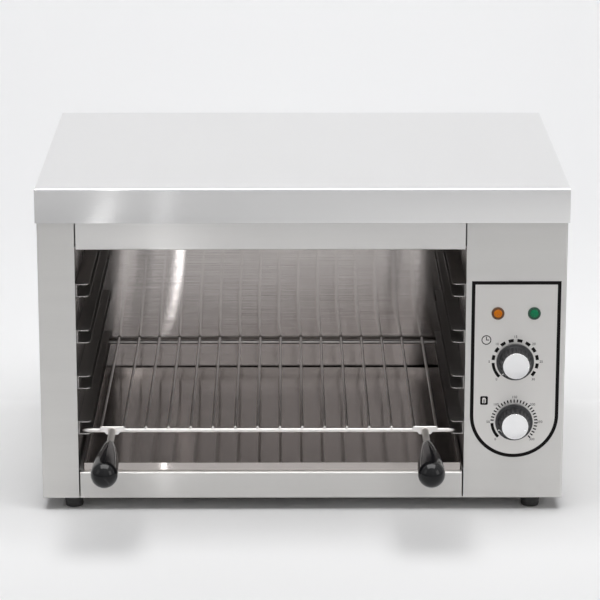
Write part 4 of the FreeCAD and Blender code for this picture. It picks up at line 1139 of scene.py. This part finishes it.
# %% Handle shapes
BAR_TOP, BAR_LOW, TONGUE_LOW = 5.4, -1.0, -3.8
BAR_HALF, TONGUE_HALF = 14.0, 7.0
right_half = [
    (13.0, BAR_TOP, 1.2), (BAR_HALF, 0.8, 1.0), (TONGUE_HALF + 1.6, BAR_LOW, 1.2),
    (TONGUE_HALF - 0.6, TONGUE_LOW, 1.2),
]
bracket_outline = rounded_outline(right_half + [(-x, z, r) for x, z, r in reversed(right_half)])
STUD_R, STUD_SHOWS, STUD_INSIDE = 3.8, 48.5, 40.0
NECK_R, BALL_R, GRIP_LONG = 6.0, 14.2, 96.8
WELD_ROUND, THREAD_STEP, NECK_ROUND = 1.3, 0.5, 1.2
stud_end = STUD_SHOWS + STUD_INSIDE
stud_profile = [(0, 0), (STUD_R + WELD_ROUND, 0)]
stud_profile += arc(STUD_R + WELD_ROUND, WELD_ROUND, WELD_ROUND, 270, 180, 5)
stud_profile += [(STUD_R, 20.0), (STUD_R, STUD_SHOWS)]
stud_profile += [(STUD_R - THREAD_STEP, STUD_SHOWS + THREAD_STEP), (STUD_R - THREAD_STEP, stud_end)]
stud_profile += [(0, stud_end)]
swell = np.linspace(0.05, 0.97, 18)
swell_r = NECK_R + (BALL_R - NECK_R) * np.sin(swell * np.pi / 2) ** 0.95
grip_profile = [(0, 0), (NECK_R - NECK_ROUND, 0)]
grip_profile += arc(NECK_R - NECK_ROUND, NECK_ROUND, NECK_ROUND, -90, -10, 5)
grip_profile += np.stack([swell_r, swell * GRIP_LONG], axis=1).tolist()
grip_profile += arc(0, GRIP_LONG, BALL_R, 1, 90, 18)
print("stud", stud_end, "mm long, grip", GRIP_LONG + BALL_R, "mm")

# %% Make both handles
grip_plastic = moulded(
    "grip_plastic", (0.004, 0.004, 0.005), (0.009, 0.009, 0.010), (0.08, 0.12),
    0.15, 0.02, shine=0.2,
)
for side in ("left", "right"):
    bracket = f"handle_bracket_{side}"
    at = middle(bracket) * (1, 0, 0) + middle("rack_front_rod") * (0, 0, 1)
    front_y, back_y = low(bracket)[1], high(bracket)[1]
    shape = mesh_piece(f"bracket_plate_{side}", [plate(bracket_outline, front_y, back_y, at)])
    settle(shape, "rack", rack_wire, [bracket])
    stud_from = at + BACK * front_y
    stud = mesh_piece(f"welded_stud_{side}", [turned(stud_profile, stud_from, FRONT, 32)])
    settle(stud, "rack", stud_zinc, [f"handle_stud_{side}"])
    grip_from = at + BACK * high(f"handle_grip_{side}")[1]
    grip = mesh_piece(f"moulded_grip_{side}", [turned(grip_profile, grip_from, FRONT, 64)])
    settle(grip, "rack", grip_plastic, [f"handle_grip_{side}"])

# %% [markdown]
# ## Heaters
#
# Each heater is one tube bent into a hairpin, with a collar and a terminal pin where
# its two ends pass the right wall.  The tube is a circle carried along the bend.  Its
# metal has gone dark and slightly bronze from heat.

# %% Hairpin tubes
TUBE_R, COLLAR_R, COLLAR_LONG, PIN_R, PIN_LONG = 4.0, 7.0, 3.0, 4 / 3, 9.0


def carried_circle(path, radius, sides=16):
    """A circle carried along a level path: point + r (cos a * sideways + sin a * up)."""
    along = np.gradient(path, axis=0)
    along /= np.linalg.norm(along, axis=1)[:, None]
    sideways = np.cross(along, UP)
    a = np.linspace(0, 2 * np.pi, sides, endpoint=False)[None, :, None]
    ring = np.cos(a) * sideways[:, None] + np.sin(a) * UP
    tube = path[:, None] + radius * MM * ring
    first, last = (np.repeat(end[None, None], sides, axis=1) for end in (path[0], path[-1]))
    return np.concatenate([first, tube, last]), False, True


def peg(radius, long, bevel):
    """The profile of a short round peg with a bevelled end."""
    return [(0, 0), (radius, 0), (radius, long - bevel), (radius - bevel, long), (0, long)]


def hairpin(node):
    """Two straight legs joined by a half circle, then collars and pins at the ends."""
    box_low, box_high = low(node), high(node)
    axis_at = middle(node) * (0, 1, 1)
    leg_end = box_high[0] - PIN_LONG * MM
    wall_face = high("cavity_right_wall")[0]
    half = (box_high[1] - box_low[1]) / 2 - COLLAR_R * MM
    bend_x = box_low[0] + half + TUBE_R * MM
    t = np.linspace(-np.pi / 2, -3 * np.pi / 2, 25)[:, None]
    bend = axis_at + bend_x * RIGHT + half * (np.cos(t) * RIGHT + np.sin(t) * BACK)
    straight = np.linspace(leg_end, bend_x + 2 * MM, 8)[:, None] * RIGHT
    near, far = (axis_at + s * half * BACK for s in (-1, 1))
    patches = [carried_circle(np.concatenate([near + straight, bend, (far + straight)[::-1]]), TUBE_R)]
    for leg in (near, far):
        patches.append(turned(peg(COLLAR_R, COLLAR_LONG, 0.5), leg + RIGHT * wall_face, RIGHT, 24))
        patches.append(turned(peg(PIN_R, PIN_LONG, 0.4), leg + RIGHT * leg_end, RIGHT, 12))
    return patches


heater_metal = plated("heater_metal", (0.12, 0.10, 0.085), (0.24, 0.21, 0.18), (0.35, 0.5))
for place_name in ("front", "middle", "rear"):
    node = f"heating_element_{place_name}"
    tube = mesh_piece(f"hairpin_{place_name}", hairpin(node))
    settle(tube, "root", heater_metal, [node])
dress(heater_metal, "element_supports")

# %% [markdown]
# ## Screws
#
# All screws are pan heads with a cross recess.  The head is a lathe dome whose height
# sinks where a point lies inside either arm of the cross.

# %% Pan-head screws
HEAD_R, HEAD_TALL, SHANK_R, SHANK_LONG, TIP = 3.5, 1.8, 1.75, 8.0, 0.6
ARM_HALF, ARM_LONG, RECESS_DEEP = 0.45, 2.0, 0.9


def inside(value, limit, soft=0.12):
    """One inside a limit, zero outside, with a straight slope between."""
    return np.clip((limit - np.abs(value)) / soft + 0.5, 0, 1)


def pan_screw(seat, out, sides=40):
    """Dome 1 - (r / R) squared, less the recess, then flank, seat, shank and tip."""
    top_r = np.concatenate([np.linspace(0, 2.3, 11), [2.8, 3.15]])
    top_h = HEAD_TALL - 0.55 * (top_r / HEAD_R) ** 2
    rest = [
        (HEAD_R - 0.08, 1.0), (HEAD_R, 0.6), (HEAD_R, 0), (SHANK_R, 0),
        (SHANK_R, -SHANK_LONG + TIP), (SHANK_R - TIP, -SHANK_LONG), (0, -SHANK_LONG),
    ]
    profile = np.concatenate([np.stack([top_r, top_h], axis=1), rest])
    points, wrap_rows, wrap_columns = turned(profile, seat, out, sides)
    a = np.linspace(0, 2 * np.pi, sides, endpoint=False)
    x, y = profile[:, :1] * np.cos(a), profile[:, :1] * np.sin(a)
    arm = np.maximum(
        inside(x, ARM_HALF) * inside(y, ARM_LONG, 0.5),
        inside(y, ARM_HALF) * inside(x, ARM_LONG, 0.5),
    )
    arm[len(top_r):] = 0
    return points - (arm * RECESS_DEEP * MM)[..., None] * np.array(out, float), wrap_rows, wrap_columns


screw_steel = plated("screw_steel", (0.50, 0.50, 0.49), (0.66, 0.66, 0.65), (0.22, 0.34))


def middles(values, gap=8 * MM):
    """Sorted values are split wherever they jump; each group's middle is returned."""
    ordered = np.sort(values)
    groups = np.split(ordered, np.flatnonzero(np.diff(ordered) > gap) + 1)
    return [(group[0] + group[-1]) / 2 for group in groups]


def places_in_node(node):
    """Where the separate solids of a grouped node stand along each axis."""
    return [middles(column) for column in corner_rows(nodes[node].data).T]


def screw_set(name, node, out):
    """A screw at every crossing of the node's rows, its head's seat under its end."""
    out = np.array(out, float)
    axis = int(np.abs(out).argmax())
    end = high(node)[axis] if out[axis] > 0 else low(node)[axis]
    rows = places_in_node(node)
    rows[axis] = [end - out[axis] * HEAD_TALL * MM]
    seats = np.stack(np.meshgrid(*rows, indexing="ij"), axis=-1).reshape(-1, 3)
    screws = mesh_piece(name, [pan_screw(seat, out) for seat in seats])
    settle(screws, "root", screw_steel, [node])
    print(len(seats), "screws")


screw_set("base_screw_heads", "bottom_screws", -UP)
screw_set("foot_screw_heads", "foot_screws", -UP)
screw_set("hood_screw_heads", "hood_screws", BACK)
screw_set("rear_screw_heads", "rear_screws", BACK)

# %% [markdown]
# ## Feet and cable gland
#
# The feet are rubber cones with two shallow grooves and a well for their screw.  The
# gland has a hexagonal collar against the panel and a ribbed dome nut round the bore.

# %% Rubber feet
FOOT_TIP_R, FOOT_TOP_R, FOOT_HIGH, WELL_R, WELL_DEEP = 9.5, 11.0, 14.0, 4.2, 8.0


def foot_profile():
    """Well, worn lower edge, grooved flank and top, from the axis outwards and back."""
    h = np.linspace(1.2, FOOT_HIGH - 0.6, 25)
    flank = FOOT_TIP_R + (FOOT_TOP_R - FOOT_TIP_R) * h / FOOT_HIGH
    flank -= 0.45 * (np.exp(-((h - 5) / 0.7) ** 2) + np.exp(-((h - 9) / 0.7) ** 2))
    return (
        [(0, WELL_DEEP), (WELL_R, WELL_DEEP), (WELL_R, 0.4), (WELL_R + 0.4, 0)]
        + arc(FOOT_TIP_R - 1.0, 1.0, 1.0, -90, 0, 5) + np.stack([flank, h], axis=1).tolist()
        + [(FOOT_TOP_R - 0.5, FOOT_HIGH), (0, FOOT_HIGH)]
    )


foot_rubber = moulded(
    "foot_rubber", (0.020, 0.020, 0.020), (0.034, 0.034, 0.034), (0.55, 0.7), bump=0.15,
)
foot_x, foot_y, _ = places_in_node("feet")
feet = mesh_piece("rubber_feet", [
    turned(foot_profile(), (x, y, 0), UP, 48) for x in foot_x for y in foot_y
])
settle(feet, "root", foot_rubber, ["feet"])

# %% Cable gland
BORE_R, THREAD_R, HEX_R, HEX_LONG, DOME_R, RIBS = 4.5, 8.0, 11.0, 6.0, 10.0, 14


def hexagon(a):
    """How much a hexagon's edge lies inside its corner circle, as a share of its radius."""
    off = (a + np.pi / 6) % (np.pi / 3) - np.pi / 6
    return 1 - math.cos(math.pi / 6) / np.cos(np.pi / 6 - np.abs(off))


def dome_ribs(a):
    """The knob's flutes again, RIBS times round."""
    return (0.5 + 0.5 * np.cos(RIBS * a)) ** 2


gland_at = middle("cable_gland") * (1, 0, 1) + BACK * high("rear_panel")[1]
inside_end = (low("cable_gland")[1] - gland_at[1]) / MM
tip = (high("cable_gland")[1] - gland_at[1]) / MM
body_profile = [
    (BORE_R, inside_end), (THREAD_R - 0.4, inside_end), (THREAD_R, inside_end + 0.4),
    (THREAD_R, 1.0), (BORE_R, 1.0), (BORE_R, inside_end),
]
hex_profile = [
    (BORE_R, 0), (HEX_R - 0.6, 0), (HEX_R, 0.5), (HEX_R, HEX_LONG - 0.6),
    (HEX_R - 0.7, HEX_LONG), (BORE_R, HEX_LONG), (BORE_R, 0),
]
dome_profile = (
    [(BORE_R, HEX_LONG), (DOME_R - 0.4, HEX_LONG), (DOME_R, HEX_LONG + 0.4), (DOME_R, HEX_LONG + 4.5)]
    + arc(DOME_R - 4.0, tip - 4.0, 4.0, 5, 85, 7)
    + [(BORE_R + 0.8, tip), (BORE_R, tip - 0.8), (BORE_R, HEX_LONG)]
)
dome_cut = np.zeros(len(dome_profile))
dome_cut[2:7] = (0.5, 0.7, 0.7, 0.6, 0.3)
hex_cut = np.array([0, HEX_R - 0.6, HEX_R, HEX_R, HEX_R - 0.7, 0, 0])
gland_plastic = moulded(
    "gland_plastic", (0.030, 0.030, 0.031), (0.045, 0.045, 0.047), (0.45, 0.6), bump=0.1,
)
gland = mesh_piece("ribbed_gland", [
    turned(body_profile, gland_at, BACK, 84),
    turned(hex_profile, gland_at, BACK, 84, hex_cut, hexagon),
    turned(dome_profile, gland_at, BACK, 84, dome_cut, dome_ribs),
])
settle(gland, "root", gland_plastic, ["cable_gland"])
dress(gland_plastic, "gland_nut")

# %% [markdown]
# ## Inside the housing
#
# The rest hides behind the panels, but the grill can be taken apart, so each hidden
# part still has its own finish: ceramic blanket, moulded cases, turned shafts, copper
# bulb and capillary, glazed terminal block, and glass-braided leads.

# %% Hidden finishes
blanket = moulded(
    "ceramic_blanket", (0.72, 0.70, 0.66), (0.86, 0.84, 0.80), (0.85, 0.95), bump=0.6, grain=260.0,
)
case_plastic = moulded(
    "case_plastic", (0.16, 0.16, 0.17), (0.22, 0.22, 0.23), (0.5, 0.6), bump=0.1,
)
ceramic = moulded(
    "glazed_ceramic", (0.72, 0.69, 0.60), (0.80, 0.77, 0.69), (0.2, 0.3), 0.4, 0.03,
)
braid = moulded(
    "braided_sleeve", (0.50, 0.47, 0.40), (0.66, 0.62, 0.54), (0.7, 0.85), bump=0.5, grain=900.0,
)
copper = plated("bulb_copper", (0.52, 0.27, 0.17), (0.64, 0.36, 0.24), (0.25, 0.35))
shaft_steel = plated("shaft_steel", (0.44, 0.44, 0.44), (0.54, 0.54, 0.54), (0.25, 0.35))
dress(blanket, "ceiling_insulation")
dress(case_plastic, "timer_case", "thermostat_case", "lamp_cases")
dress(ceramic, "terminal_block")
dress(braid, "inner_wiring")
dress(copper, "thermostat_bulb", "thermostat_capillary", "bulb_clip")
dress(shaft_steel, "timer_shaft", "thermostat_shaft")
